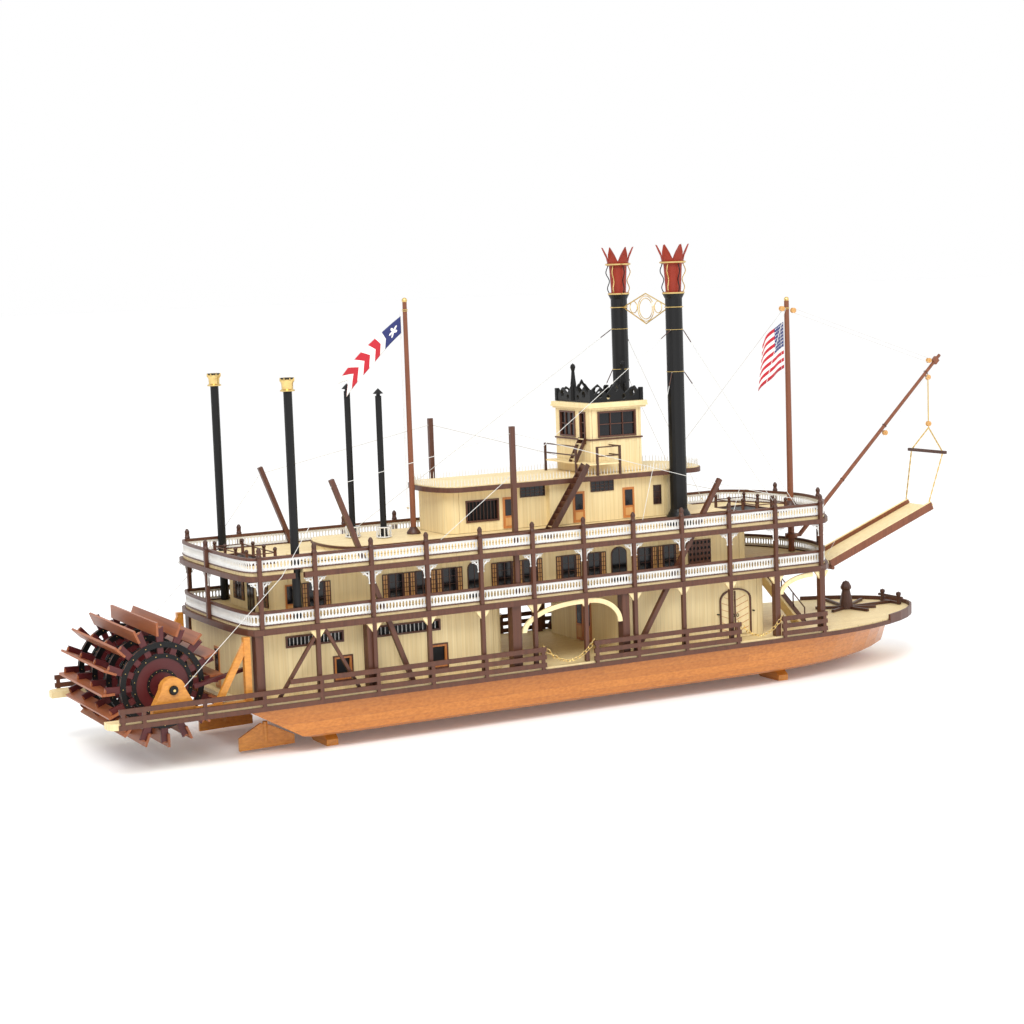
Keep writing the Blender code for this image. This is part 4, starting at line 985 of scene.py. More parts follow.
    def build_fore_house(self) -> None:
        """The arched double doors of boarded leaves, and the end doors."""
        piece = Piece("fore_house_joinery", self.finishes, "dark_wood")
        left, right, foot, head = station(8.00), station(8.62), DECK_TOP + 0.0030, 0.0790
        middle, half = (left + right) / 2, (right - left) / 2
        spring = head - 0.0078
        for _, sign in SIDES:
            place = side_wall(sign, MAIN_HOUSE_HALF + WALL / 2)
            grow = 0.0013
            inner = [(left, foot), (right, foot)] + arc((middle, spring), (half, 0.0078), 0, 180, 14)
            outer = [(left - grow, foot), (right + grow, foot)]
            outer += arc((middle, spring), (half + grow, 0.0078 + grow), 0, 180, 14)
            piece.add(plate_shape(outer, 0.0, 0.0011, [inner]), "trim_upright", place)
            piece.add(plate_shape([(x * 1.0, z) for x, z in inner], -0.0014, -0.0006), "cream_board", place)
            piece.add(box_shape((middle - 0.0005, foot, -0.0006), (middle + 0.0005, head - 0.0010, 0.0004)),
                      "trim_upright", place)
            for facing in (-1, 1):
                for step in range(6):
                    low = foot + 0.0008 + step * 0.0052
                    start = (middle + facing * 0.0008, low, -0.0005)
                    end = (middle + facing * (half - 0.0006), low + 0.0044, -0.0005)
                    piece.add(bar_shape(start, end, 0.0003, 0.0003), "door_wood", place)
                spot = place @ Matrix.Translation((middle + facing * 0.0021, foot + 0.0150, 0.0003))
                piece.add(ring_shape(0.0011, 0.00028, 12, 4), "satin_black", spot)
                hook_x = middle + facing * (half + 0.0032)
                piece.add(rod_shape((hook_x, 0.0610, 0), (hook_x, 0.0610, 0.0022), 0.0006), "satin_black", place)
        for x, facing in ((5.95, -1), (8.98, 1)):
            place = end_wall(station(x) + facing * WALL / 2, facing)
            self.panelled_door(piece, place, (-0.0120, -0.0010, DECK_TOP + 0.0010, 0.0740))
            self.panelled_door(piece, place, (0.0010, 0.0120, DECK_TOP + 0.0010, 0.0740))
        piece.done(smooth=30.0)

    def build_texas(self) -> None:
        """Doors, clerestories and louvres of the officers' cabin."""
        piece = Piece("texas_joinery", self.finishes, "dark_wood")
        narrow, wide = 0.0270 + WALL / 2, 0.0325 + WALL / 2
        for _, sign in SIDES:
            place = side_wall(sign, narrow)
            self.barred_opening(piece, place, (station(3.30), station(3.92), 0.1485, 0.1640), 9, "window_frame")
            self.panelled_door(piece, place, (station(4.01), station(4.24), 0.1410, 0.1648))
            self.louvre(piece, place, (station(4.37), station(4.84), 0.1640, 0.1712))
            place = side_wall(sign, wide)
            for left, right in ((5.34, 5.58), (6.365, 6.605)):
                self.panelled_door(piece, place, (station(left), station(right), 0.1410, 0.1648))
            self.louvre(piece, place, (station(5.72), station(6.17), 0.1640, 0.1712))
            self.louvre(piece, place, (station(7.02), station(7.16), 0.1500, 0.1640))
        place = end_wall(station(7.45) + WALL / 2, 1)
        for middle in (-0.0130, 0.0130):
            self.panelled_door(piece, place, (middle - 0.0045, middle + 0.0045, 0.1410, 0.1648))
        piece.done(smooth=30.0)

    def louvre(self, piece: Piece, place: Matrix, box: tuple[float, float, float, float]) -> None:
        """A dark clerestory light behind a fine lattice."""
        left, right, foot, head = box
        piece.add(box_shape((left, foot, 0.00002), (right, head, 0.0003)), "pane_black", place)
        self.border(piece, place, box, 0.0006, "window_frame", 0.0006)
        self.lattice(piece, place, box, (5, 3), "window_frame", 0.00035, 0.0006)

    def build_pilot_house(self) -> None:
        """Brown sashes round the pilot house's cut windows and its sill band."""
        piece = Piece("pilot_house_joinery", self.finishes, "trim_wood")
        aft, fore, half = station(5.82), station(6.88), 0.0270
        sill, lintel = 0.2050, 0.2240
        low = TEXAS_ROOF[1] + 0.0003
        for _, sign in SIDES:
            place = side_wall(sign, half)
            self.sash(piece, place, (aft + 0.0075, fore - 0.0055, sill, lintel), (3, 2))
            piece.add(box_shape((aft - 0.0009, sill - 0.0026, 0), (fore + 0.0009, sill - 0.0014, 0.0009)),
                      "trim_upright", place)
        place = end_wall(aft, -1)
        self.sash(piece, place, (-0.0200, -0.0125, low + 0.0230, lintel), (1, 3))
        self.sash(piece, place, (-0.0040, 0.0190, sill, lintel), (3, 2))
        place = end_wall(fore, 1)
        self.sash(piece, place, (-half + 0.0050, half - 0.0050, sill, lintel), (5, 2))
        for x, facing in ((aft, -1), (fore, 1)):
            piece.add(box_shape((-half, sill - 0.0026, 0), (half, sill - 0.0014, 0.0009)), "trim_upright",
                      end_wall(x, facing))
        wheel_x, wheel_z = fore - 0.0120, 0.2020
        stand = Matrix.Translation((wheel_x, 0, wheel_z)) @ Matrix.Rotation(math.pi / 2, 4, "Y")
        piece.add(ring_shape(0.0110, 0.0006, 24, 6), "door_wood", stand)
        for number in range(8):
            turn = 2 * math.pi * number / 8
            tip = (wheel_x, 0.0128 * math.cos(turn), wheel_z + 0.0128 * math.sin(turn))
            piece.add(rod_shape((wheel_x, 0, wheel_z), tip, 0.0004, sides=6), "door_wood")
        piece.done(smooth=30.0)

    def sash(self, piece: Piece, place: Matrix, box: tuple[float, float, float, float],
             cells: tuple[int, int]) -> None:
        """A brown sash in a cut opening, with thin bars over a dark pane."""
        left, right, foot, head = box
        inner = (left + 0.0007, right - 0.0007, foot + 0.0007, head - 0.0007)
        self.border(piece, place, inner, 0.0013, "trim_upright", 0.0009, 0.0014)
        piece.add(box_shape((left, foot, -0.0012), (right, head, -0.0009)), "pane_black", place)
        for number in range(1, cells[0]):
            x = left + (right - left) * number / cells[0]
            piece.add(box_shape((x - 0.0003, foot, -0.0010), (x + 0.0003, head, 0.0001)), "trim_upright", place)
        for number in range(1, cells[1]):
            z = foot + (head - foot) * number / cells[1]
            piece.add(box_shape((left, z - 0.0003, -0.0010), (right, z + 0.0003, 0.0001)), "trim_upright", place)


@dataclass
class PaddleWheel:
    """Red arm cheeks, black rings and brass bolts of the wheel."""

    spider_places: tuple[float, ...] = (-0.0490, -0.0165, 0.0165, 0.0490)
    arms: int = 16
    half_thickness: float = 0.0008
    rings: tuple[Flat, ...] = ((0.0094, 0.0112), (0.0190, 0.0219), (0.0264, 0.0303))
    disc_radius: float = 0.0190

    def build(self) -> None:
        """Builds the dressing of the four spiders and the shaft's ends."""
        piece = Piece("wheel_dressing", ["arm_red", "satin_black", "brass"], "arm_red", body="wheel")
        for y in self.spider_places:
            for facing in (-1, 1):
                self.face(piece, y + facing * self.half_thickness, facing)
            self.cheeks(piece, y)
        for _, sign in SIDES:
            start = (station(WHEEL_STATION), sign * 0.0744, WHEEL_AXIS_Z)
            end = (station(WHEEL_STATION), sign * 0.0756, WHEEL_AXIS_Z)
            piece.add(rod_shape(start, end, 0.0034, 0.0028, 12), "satin_black")
            piece.add(rod_shape(start, (end[0], sign * 0.0761, end[2]), 0.0012, 0.0010, 6), "brass")
        piece.done()

    def plane(self, y: float) -> Matrix:
        """Places a drawing about the axis (along, up, out) at that y."""
        x = station(WHEEL_STATION)
        return Matrix(((1, 0, 0, x), (0, 0, 1, y), (0, 1, 0, WHEEL_AXIS_Z), (0, 0, 0, 1)))

    def face(self, piece: Piece, y: float, facing: int) -> None:
        """The disc, rings and bolts on one face of a spider."""
        place = self.plane(y)
        low, high = sorted((0.0, facing * 0.0004))
        bore = arc((0, 0), (0.0030, 0.0030), 0, 330, 11)
        piece.add(plate_shape(arc((0, 0), (self.disc_radius,) * 2, 0, 350, 35), low, high, [bore]), "arm_red", place)
        for number, (inner, outer) in enumerate(self.rings):
            low, high = sorted((0.0, facing * 0.0011))
            band = plate_shape(arc((0, 0), (outer, outer), 0, 352.5, 47), low, high,
                               [arc((0, 0), (inner, inner), 0, 352.5, 47)])
            piece.add(band, "satin_black", place)
            middle = (inner + outer) / 2
            for bolt in range(self.arms):
                turn = 2 * math.pi * (bolt + 0.5 * (number == 1)) / self.arms
                centre = (middle * math.cos(turn), middle * math.sin(turn), facing * 0.0011)
                piece.add(ball_shape(centre, 0.00048 if number else 0.00038, 6), "brass", place)

    def cheeks(self, piece: Piece, y: float) -> None:
        """Red arms, wider toward their notched tips."""
        outline = [(0.0180, -0.0019), (0.0290, -0.0023), (0.0408, -0.0028), (0.0398, -0.0004), (0.0398, 0.0004),
                   (0.0408, 0.0028), (0.0290, 0.0023), (0.0180, 0.0019)]
        for number in range(self.arms):
            turn = Matrix.Rotation(2 * math.pi * number / self.arms, 4, "Z")
            shape = plate_shape(outline, -0.0011, 0.0011)
            piece.add(shape, "arm_red", self.plane(y) @ turn)


@dataclass
class Stacks:
    """Brass and ironwork of the chimneys and pipes."""

    flanges: tuple[Flat, ...] = ((0.3139, 0.0088), (0.3376, 0.0103))
    band: float = 0.3030
    guy_bands: tuple[float, ...] = (0.2856, 0.2530)
    pipes: tuple[Flat, ...] = ((-0.27, -0.0679), (-0.38, 0.0670))
    steam_pipes: tuple[Flat, ...] = ((1.55, 0.0120), (1.95, -0.0060))

    def build(self) -> None:
        """Builds the chimneys' brass, the frame between them, the pipes' crowns and cages."""
        brass = Piece("chimney_brass", ["brass", "satin_black"], "brass")
        x = station(CHIMNEY_STATION)
        for _, sign in SIDES:
            foot = Vector((x, sign * CHIMNEY_HALF, 0))
            for height, radius in self.flanges:
                profile = [(radius - 0.0016, height - 0.0008), (radius, height - 0.0006), (radius, height + 0.0006),
                           (radius - 0.0016, height + 0.0008), (radius - 0.0016, height - 0.0008)]
                brass.add(turned_shape(profile, foot, 24), "brass")
            self.hoop(brass, foot, self.band, 0.0005)
            for height in self.guy_bands:
                self.hoop(brass, foot, height, 0.0003)
            self.scrolls(brass, foot)
            base = HURRICANE_DECK_TOP + 0.0004
            profile = [(0.0069, 0.0110), (0.0082, 0.0096), (0.0101, 0.0052), (0.0112, 0.0040), (0.0112, 0.0008),
                       (0.0120, 0.0), (0.0069, 0.0), (0.0069, 0.0110)]
            brass.add(turned_shape(profile, foot + Vector((0, 0, base)), 24), "satin_black")
        self.diamond(brass, x)
        brass.done()
        self.build_crowns()
        self.build_cages()

    def hoop(self, piece: Piece, foot: Vector, height: float, thickness: float) -> None:
        """A thin brass hoop round a chimney."""
        ring = ring_shape(CHIMNEY_RADIUS + thickness * 0.6, thickness, 24, 6)
        piece.add(ring, "brass", Matrix.Translation(foot + Vector((0, 0, height))))

    def scrolls(self, piece: Piece, foot: Vector) -> None:
        """Wavy brackets between the two flanges."""
        low, high = self.flanges[0][0] + 0.0008, self.flanges[1][0] - 0.0008
        for number in range(6):
            turn = Matrix.Rotation(2 * math.pi * (number + 0.5) / 6, 4, "Z")
            points = []
            for step in range(15):
                share = step / 14
                reach = 0.0076 + 0.0016 * share + 0.0011 * math.sin(share * 3.4 * math.pi)
                points.append(foot + turn @ Vector((reach, 0, low + (high - low) * share)))
            piece.add(wire_shape(points, 0.00042, 5), "brass" if number % 2 else "satin_black")

    def diamond(self, piece: Piece, x: float) -> None:
        """The open brass frame between the chimneys."""
        reach, low, middle, high = CHIMNEY_HALF - CHIMNEY_RADIUS, 0.2899, 0.3030, 0.3138
        corners = [(-reach, middle), (0, high), (reach, middle), (0, low)]
        for first, second in zip(corners, corners[1:] + corners[:1]):
            piece.add(rod_shape((x, *first), (x, *second), 0.00055, sides=6), "brass")
        centre = (0.0, 0.3018)
        loops = [arc(centre, radii, 0, 360, 24) for radii in ((0.0122, 0.0100), (0.0100, 0.0082))]
        loops += [arc((sign * 0.0186, middle), (0.0056, 0.0046), 0, 360, 16) for sign in (-1, 1)]
        for loop in loops:
            piece.add(wire_shape([(x, y, z) for y, z in loop], 0.00036, 5), "brass")

    def build_crowns(self) -> None:
        """Brass crowns on the tall pipes, with pointed rims."""
        piece = Piece("pipe_crowns", ["brass"], "brass")
        top = 0.2665
        profile = [(0.0033, top - 0.0098), (0.0052, top - 0.0094), (0.0052, top - 0.0086), (0.0040, top - 0.0078),
                   (0.0042, top - 0.0040), (0.0052, top - 0.0022), (0.0052, top - 0.0014), (0.0033, top + 0.0001),
                   (0.0033, top - 0.0098)]
        for place, y in self.pipes:
            foot = Vector((station(place), y, 0))
            piece.add(turned_shape(profile, foot, 16))
            for number in range(8):
                turn = 2 * math.pi * number / 8
                out = Vector((math.cos(turn), math.sin(turn), 0))
                start = foot + out * 0.0046 + Vector((0, 0, top - 0.0020))
                piece.add(rod_shape(start, start + out * 0.0007 + Vector((0, 0, 0.0020)), 0.0011, 0.0002, 6))
        piece.done()

    def build_cages(self) -> None:
        """White cages round the feet of the thin pipes."""
        piece = Piece("pipe_cages", ["white_metal"], "white_metal")
        for place, y in self.steam_pipes:
            foot = Vector((station(place), y, PLATFORM_TOP + 0.0003))
            for height in (0.0006, 0.0078):
                piece.add(ring_shape(0.0054, 0.0005, 16, 5), place=Matrix.Translation(foot + Vector((0, 0, height))))
            for number in range(10):
                turn = 2 * math.pi * number / 10
                low = foot + Vector((0.0054 * math.cos(turn), 0.0054 * math.sin(turn), 0.0002))
                piece.add(rod_shape(low, low + Vector((0, 0, 0.0080)), 0.00045, sides=5))
        piece.done()


@dataclass
class UpperWorks:
    """Pickets and edge trim of the cabin roof, stairs' rails, the pilot house landing and hatches."""

    roof_half: float = 0.0385
    stair_y: Flat = (-0.0470, -0.0390)

    def build(self) -> None:
        """Builds all of it."""
        self.build_pickets()
        self.build_edges()
        self.build_texas_stair()
        self.build_landing()
        self.build_fore_stair()
        self.build_hatches()
        self.build_crown_blocks()

    def roof_outline(self, inset: float) -> list[Flat]:
        """The cabin roof's edge in plan, that far in."""
        half = self.roof_half - inset
        bow = superellipse_end(station(7.75), 0.45 * BAY - inset, half, 2.2, 20)
        stern = superellipse_end(-station(3.14), 0.42 * BAY - inset, half, 2.2, 20)
        return bow + [(-x, -y) for x, y in stern]

    def clear_of_chimneys(self, x: float, y: float) -> bool:
        """Whether a place in plan is clear of both chimneys."""
        return math.hypot(x - station(CHIMNEY_STATION), abs(y) - CHIMNEY_HALF) > 0.0085

    def build_pickets(self) -> None:
        """White pointed pickets round the cabin roof."""
        piece = Piece("roof_pickets", ["white_metal"], "white_metal")
        top = TEXAS_ROOF[1]
        pattern = Piece("picket", ["white_metal"], "white_metal")
        pattern.add(box_shape((-0.00022, -0.0002, 0), (0.00022, 0.0002, 0.0030)))
        pattern.add(rod_shape((0, 0, 0.0030), (0, 0, 0.0054), 0.00034, 0.00008, 4))
        places = []
        for at, turn in walk(self.roof_outline(0.0012), 0.0028):
            at_stair = at.y < 0 and station(5.30) < at.x < station(5.62)
            if self.clear_of_chimneys(at.x, at.y) and not at_stair:
                places.append(Matrix.Translation((at.x, at.y, top)) @ Matrix.Rotation(turn, 4, "Z"))
        piece.repeat(pattern, places)
        piece.done(smooth=20.0)

    def build_edges(self) -> None:
        """Brown strips along the edges of the cabin roof and its platform."""
        piece = Piece("roof_edges", ["trim_along", "cream_board"], "trim_wood")
        for low, high, outline in (
            (TEXAS_ROOF[0] - 0.0001, TEXAS_ROOF[1] - 0.0007, self.roof_outline(-0.0005)),
            (PLATFORM_TOP - 0.0022, PLATFORM_TOP - 0.0004, self.platform_outline()),
        ):
            places = walk(outline, 0.0030)
            for (first, _), (second, _) in zip(places, places[1:] + places[:1]):
                if self.clear_of_chimneys(*((first + second) / 2)):
                    piece.add(bar_shape((*first, (low + high) / 2), (*second, (low + high) / 2), 0.0010, high - low))
        piece.done()

    def platform_outline(self) -> list[Flat]:
        """The platform's edge in short steps from the fore end round the stern."""
        half = self.roof_half
        stern = superellipse_end(-station(1.25), 0.45 * BAY, half, 2.2, 20)
        round_stern = [(-x, -y) for x, y in stern]
        steps = 40
        port = [(station(8.55) + (station(1.25) - station(8.55)) * i / steps, half) for i in range(steps)]
        starboard = [(x, -y) for x, y in reversed(port)]
        ahead = [(station(8.55), -half + 2 * half * i / 8) for i in range(1, 8)]
        return port + round_stern + starboard + ahead

    def build_texas_stair(self) -> None:
        """Stringers and treads of the cabin stair."""
        piece = Piece("texas_stair_rails", ["trim_along", "cream_board", "window_frame"], "trim_wood")
        start = Vector((station(4.66), 0, HURRICANE_DECK_TOP + 0.0012))
        end = Vector((station(5.50), 0, TEXAS_ROOF[1] + 0.0095))
        for y in self.stair_y:
            side = Vector((0, y, 0))
            piece.add(bar_shape(start + side, end + side, 0.0009, 0.0036), "window_frame")
        steps = 12
        for number in range(steps):
            at = start.lerp(end, (number + 0.7) / steps)
            low = (at.x - 0.0014, self.stair_y[0], at.z - 0.0003)
            piece.add(box_shape(low, (at.x + 0.0014, self.stair_y[1], at.z + 0.0003)), "cream_board")
        piece.done()

    def build_landing(self) -> None:
        """The landing abaft the pilot house, its posts, rails and the short flight to the door."""
        piece = Piece("pilot_landing", ["cream_board", "window_frame", "trim_along"], "trim_wood")
        aft, fore = station(5.58), station(6.20)
        level = 0.1860
        near, far = -0.0430, 0.0270
        piece.add(box_shape((aft, near, level - 0.0011), (station(5.80), far, level)), "cream_board")
        piece.add(box_shape((station(5.80), near, level - 0.0011), (fore, -0.0278, level)), "cream_board")
        rail_posts = [(aft, far), (fore, near), (station(5.74), near), (aft, -0.0220)]
        for x, y in rail_posts:
            post = box_shape((x - 0.0008, y - 0.0008, TEXAS_ROOF[1]), (x + 0.0008, y + 0.0008, 0.1990))
            piece.add(post, "window_frame")
        for height in (0.1985, 0.1915):
            for first, second in (((aft, -0.0220), (aft, far)), ((station(5.74), near), (fore, near))):
                piece.add(bar_shape((*first, height), (*second, height), 0.0010, 0.0009), "window_frame")
            piece.add(bar_shape((fore, near, height), (fore, -0.0275, height), 0.0010, 0.0009), "window_frame")
        door_x = station(5.82)
        for y in (-0.0206, -0.0119):
            piece.add(bar_shape((door_x - 0.0100, y, level), (door_x - 0.0006, y, 0.2040), 0.0009, 0.0026),
                      "window_frame")
        for number in range(5):
            share = (number + 0.6) / 5
            x, z = door_x - 0.0100 + 0.0094 * share, level + 0.0190 * share
            piece.add(box_shape((x - 0.0010, -0.0206, z - 0.0003), (x + 0.0010, -0.0119, z + 0.0003)), "cream_board")
        piece.done()

    def build_fore_stair(self) -> None:
        """Stringers, hand rails and posts of the stair to the boiler deck."""
        piece = Piece("fore_stair_rails", ["trim_along", "cream_board"], "trim_wood")
        start = Vector((station(10.12), 0, DECK_TOP + 0.0020))
        end = Vector((station(9.20), 0, BOILER_FASCIA[0] + 0.0016))
        for y in (-0.0433, -0.0287):
            side = Vector((0, y, 0))
            piece.add(bar_shape(start + side, end + side, 0.0008, 0.0034), "trim_along")
            lift = Vector((0, y, 0.0120))
            piece.add(bar_shape(start + lift, start.lerp(end, 0.86) + lift, 0.0008, 0.0008), "trim_along")
            for share in (0.0, 0.28, 0.56, 0.84):
                foot = start.lerp(end, share) + side
                piece.add(bar_shape(foot, foot + Vector((0, 0, 0.0120)), 0.0008, 0.0008), "trim_along")
        piece.done()

    def build_hatches(self) -> None:
        """The long low hatch on the hurricane deck, and the wells at the stern and bow with their knobbed posts."""
        piece = Piece("deck_hatches", ["cream_board", "satin_black", "trim_along", "window_frame"], "deck_wood")
        low = HURRICANE_DECK_TOP
        for x_low, x_high in ((0.05, 0.72),):
            corner, opposite = (station(x_low), -0.0560, low), (station(x_high), -0.0140, low + 0.0042)
            piece.add(box_shape(corner, opposite, 0.0003), "cream_board")
            piece.add(box_shape((corner[0] - 0.0002, corner[1] - 0.0002, low + 0.0017),
                                (opposite[0] + 0.0002, opposite[1] + 0.0002, low + 0.0022)), "satin_black")
        for x_low, x_high, half in ((-0.80, -0.30, 0.0330), (9.30, 9.95, 0.0300)):
            left, right = station(x_low), station(x_high)
            piece.add(box_shape((left, -half, low), (right, half, low + 0.0004)), "satin_black")
            for first, second in (((left, -half), (left, half)), ((left, half), (right, half)),
                                  ((right, half), (right, -half)), ((right, -half), (left, -half))):
                piece.add(bar_shape((*first, low + 0.0007), (*second, low + 0.0007), 0.0016, 0.0014), "trim_along")
                piece.add(bar_shape((*first, low + 0.0078), (*second, low + 0.0078), 0.0007, 0.0007), "trim_along")
            for x in (left, right):
                for y in (-half, -half / 3, half / 3, half):
                    piece.add(box_shape((x - 0.0009, y - 0.0009, low), (x + 0.0009, y + 0.0009, low + 0.0090)),
                              "trim_along")
                    piece.add(ball_shape((x, y, low + 0.0103), 0.0016, 8), "window_frame")
        piece.done()

    def build_crown_blocks(self) -> None:
        """Two stepped cream cornice bands round the pilot house."""
        piece = Piece("pilot_cornice", ["cream_board"], "deck_wood")
        aft, fore, half = station(5.82) - 0.0020, station(6.88) + 0.0040, 0.0298
        top = 0.2290
        for step, grow in ((0.0012, 0.0006), (0.0026, -0.0006)):
            low = (aft - grow, -half - grow, top - step - 0.0001)
            outline = [(low[0], low[1]), (fore + grow, low[1]), (fore + grow, -low[1]), (low[0], -low[1])]
            inside = [(station(5.82), -0.0270), (station(6.88), -0.0270), (station(6.88), 0.0270),
                      (station(5.82), 0.0270)]
            piece.add(plate_shape(outline, low[2], low[2] + 0.0013, [inside]))
        piece.done()


@dataclass
class MainDeckWork:
    """Arch braces and gangway chains of the main deck."""

    arches: tuple[tuple[float, float, float], ...] = ((3.75, 4.92, 0.0680), (5.73, 5.08, 0.0680), (9.06, 9.80, 0.0735))
    band: float = 0.0036
    swags: tuple[Flat, ...] = ((4.15, 5.10), (8.15, 9.05))

    def build(self) -> None:
        """Builds both."""
        piece = Piece("arch_braces", ["cream_board"], "deck_wood")
        top = BOILER_FASCIA[0] - 0.0002
        for _, sign in SIDES:
            for foot, head, spring in self.arches:
                start, end = station(foot), station(head)
                centre = (end, spring)
                inside = math.copysign(abs(start - end) - self.band, start - end)
                outer = arc(centre, (start - end, top - spring), 0, 90, 12)
                inner = arc(centre, (inside, top - spring - self.band), 0, 90, 12)
                place = side_wall(sign, POST_HALF + 0.0015)
                piece.add(plate_shape(outer + inner[::-1], -0.0030, -0.0010), place=place)
        piece.done()
        self.build_chains()

    def build_chains(self) -> None:
        """Brass chains that hang across the gangways."""
        piece = Piece("gangway_chains", ["brass"], "brass")
        height, sag = 0.0570, 0.0135
        for _, sign in SIDES:
            for start, end in self.swags:
                left, right = station(start) - 0.0016, station(end) + 0.0016
                count = 16
                points = []
                for step in range(count + 1):
                    share = step / count
                    drop = sag * (1 - (2 * share - 1) ** 2)
                    points.append(Vector((left + (right - left) * share, sign * 0.0768, height - drop)))
                for number, (first, second) in enumerate(zip(points, points[1:])):
                    along = second - first
                    turn = along.to_track_quat("X", "Z").to_matrix().to_4x4()
                    roll = Matrix.Rotation(math.pi / 2 * (number % 2) + 0.5, 4, "X")
                    stretch = Matrix.Diagonal((1.35, 0.85, 1.0, 1.0))
                    place = Matrix.Translation((first + second) / 2) @ turn @ roll @ stretch
                    piece.add(ring_shape(along.length * 0.46, 0.00036, 8, 4), place=place)
        piece.done(smooth=60.0)


@dataclass
class Spars:
    """Knobs, blocks and lines of the masts and boom, and the landing stage's floor."""

    boom_heel: Flat = (10.74, 0.1080)
    boom_head: Flat = (14.20, 0.2510)
    stage_heel: Flat = (11.22, 0.0800)
    stage_tip: Flat = (13.70, 0.1205)
    line: float = 0.00017

    def build(self) -> None:
        """Builds the masts' and boom's fittings."""
        self.build_mast_fittings()
        self.build_boom_fittings()
        self.build_stage_floor()

    def keel(self, place: Flat) -> Vector:
        """A point on the middle line from a station and a height."""
        return Vector((station(place[0]), 0, place[1]))

    def block(self, piece: Piece, at: Vector, name: str = "shutter_wood") -> None:
        """A pulley block: two cheeks and a sheave on a pin."""
        for y in (-0.0011, 0.0011):
            piece.add(rod_shape(at + Vector((0, y - 0.0003, 0)), at + Vector((0, y + 0.0003, 0)), 0.0022, sides=10),
                      name)
        piece.add(rod_shape(at + Vector((0, -0.0008, 0)), at + Vector((0, 0.0008, 0)), 0.0018, sides=10), "brass")
        piece.add(rod_shape(at + Vector((0, -0.0018, 0)), at + Vector((0, 0.0018, 0)), 0.0005, sides=6), "brass")

    def build_mast_fittings(self) -> None:
        """Brass balls, collars, blocks and halyards on the two masts."""
        piece = Piece("mast_fittings", ["brass", "shutter_wood", "window_frame", "white_line"], "brass")
        for place, top, foot in ((AFT_MAST_STATION, 0.3180, PLATFORM_TOP), (FORE_MAST_STATION, 0.3065, 0.1326)):
            x = station(place)
            piece.add(ball_shape((x, 0, top - 0.0021), 0.0021, 10), "brass")
            for height in (top - 0.0100, top - 0.0090):
                piece.add(ring_shape(0.0021, 0.0003, 14, 5), "brass", Matrix.Translation((x, 0, height)))
            profile = [(0.0024, 0.0050), (0.0032, 0.0040), (0.0056, 0.0008), (0.0056, 0.0), (0.0024, 0.0),
                       (0.0024, 0.0050)]
            piece.add(turned_shape(profile, (x, 0, foot + 0.0004), 8), "window_frame")
        x = station(AFT_MAST_STATION)
        for y in (-0.0011, 0.0011):
            piece.add(wire_shape([(x - 0.0040, y, 0.3085), (x - 0.0040, y, 0.1560)], self.line, 4), "white_line")
        piece.add(rod_shape((x - 0.0040, -0.0016, 0.1600), (x - 0.0040, 0.0016, 0.1600), 0.0005, sides=6), "brass")
        x = station(FORE_MAST_STATION)
        self.block(piece, Vector((x - 0.0048, 0, 0.2968)))
        piece.add(wire_shape([(x - 0.0066, 0, 0.2960), (x - 0.0046, 0.0004, 0.1460)], self.line, 4), "white_line")
        piece.done(smooth=40.0)

    def build_boom_fittings(self) -> None:
        """Blocks, topping lift, tackle and falls, which swing with the boom."""
        piece = Piece("boom_tackle", ["brass", "shutter_wood", "white_line", "window_frame"], "brass", body="boom")
        mast_head = Vector((station(FORE_MAST_STATION) + 0.0066, 0, 0.2950))
        head = self.keel(self.boom_head)
        heel = self.keel(self.boom_heel)
        along = (head - heel).normalized()
        lift_block = head - along * 0.0105 + Vector((-0.0040, 0, 0.0030))
        self.block(piece, mast_head)
        self.block(piece, lift_block)
        piece.add(rod_shape(lift_block, head - along * 0.0085, 0.0004, sides=6), "brass")
        for lift in (-0.0018, 0.0018):
            shift = Vector((0, 0, lift))
            piece.add(wire_shape([mast_head + shift, lift_block + shift], self.line, 4), "white_line")
        hook = Vector((head.x - 0.0128, 0, head.z - 0.0160))
        apex = Vector((head.x - 0.0128, 0, 0.1890))
        self.block(piece, hook + Vector((0, 0, -0.0026)))
        self.block(piece, apex + Vector((0, 0, 0.0034)))
        for y in (-0.0014, 0.0014):
            piece.add(wire_shape([hook + Vector((0, y, -0.0020)), apex + Vector((0, y * 0.6, 0.0030))], self.line, 4),
                      "white_line")
        middle = heel.lerp(head, 0.585) + Vector((0.0028, 0, -0.0040))
        self.block(piece, middle)
        stage_heel = self.keel(self.stage_heel) + Vector((0.0015, 0, 0.0090))
        piece.add(wire_shape([hook, middle], self.line, 4), "white_line")
        piece.add(wire_shape([middle, stage_heel + Vector((0, 0.0030, 0))], self.line, 4), "white_line")
        piece.add(wire_shape([hook, stage_heel + Vector((0.0030, -0.0040, 0.0002))], self.line, 4), "white_line")
        piece.add(wire_shape([heel.lerp(head, 0.60), heel + Vector((0.0030, 0.0016, 0.0060))], self.line, 4),
                  "white_line")
        for share in (0.30, 0.60, 0.90):
            at = heel.lerp(head, share)
            turn = along.to_track_quat("Z", "Y").to_matrix().to_4x4()
            piece.add(ring_shape(0.0020, 0.00025, 12, 5), "window_frame", Matrix.Translation(at) @ turn)
        self.sling_bar(piece, head)
        piece.done(smooth=40.0)

    def sling_bar(self, piece: Piece, head: Vector) -> None:
        """The dark wooden spreader over the sling's crossbar."""
        x, z = head.x - 0.0148, 0.1690
        piece.add(box_shape((x - 0.0014, -0.0250, z - 0.0013), (x + 0.0014, 0.0250, z + 0.0013), 0.0003),
                  "window_frame")

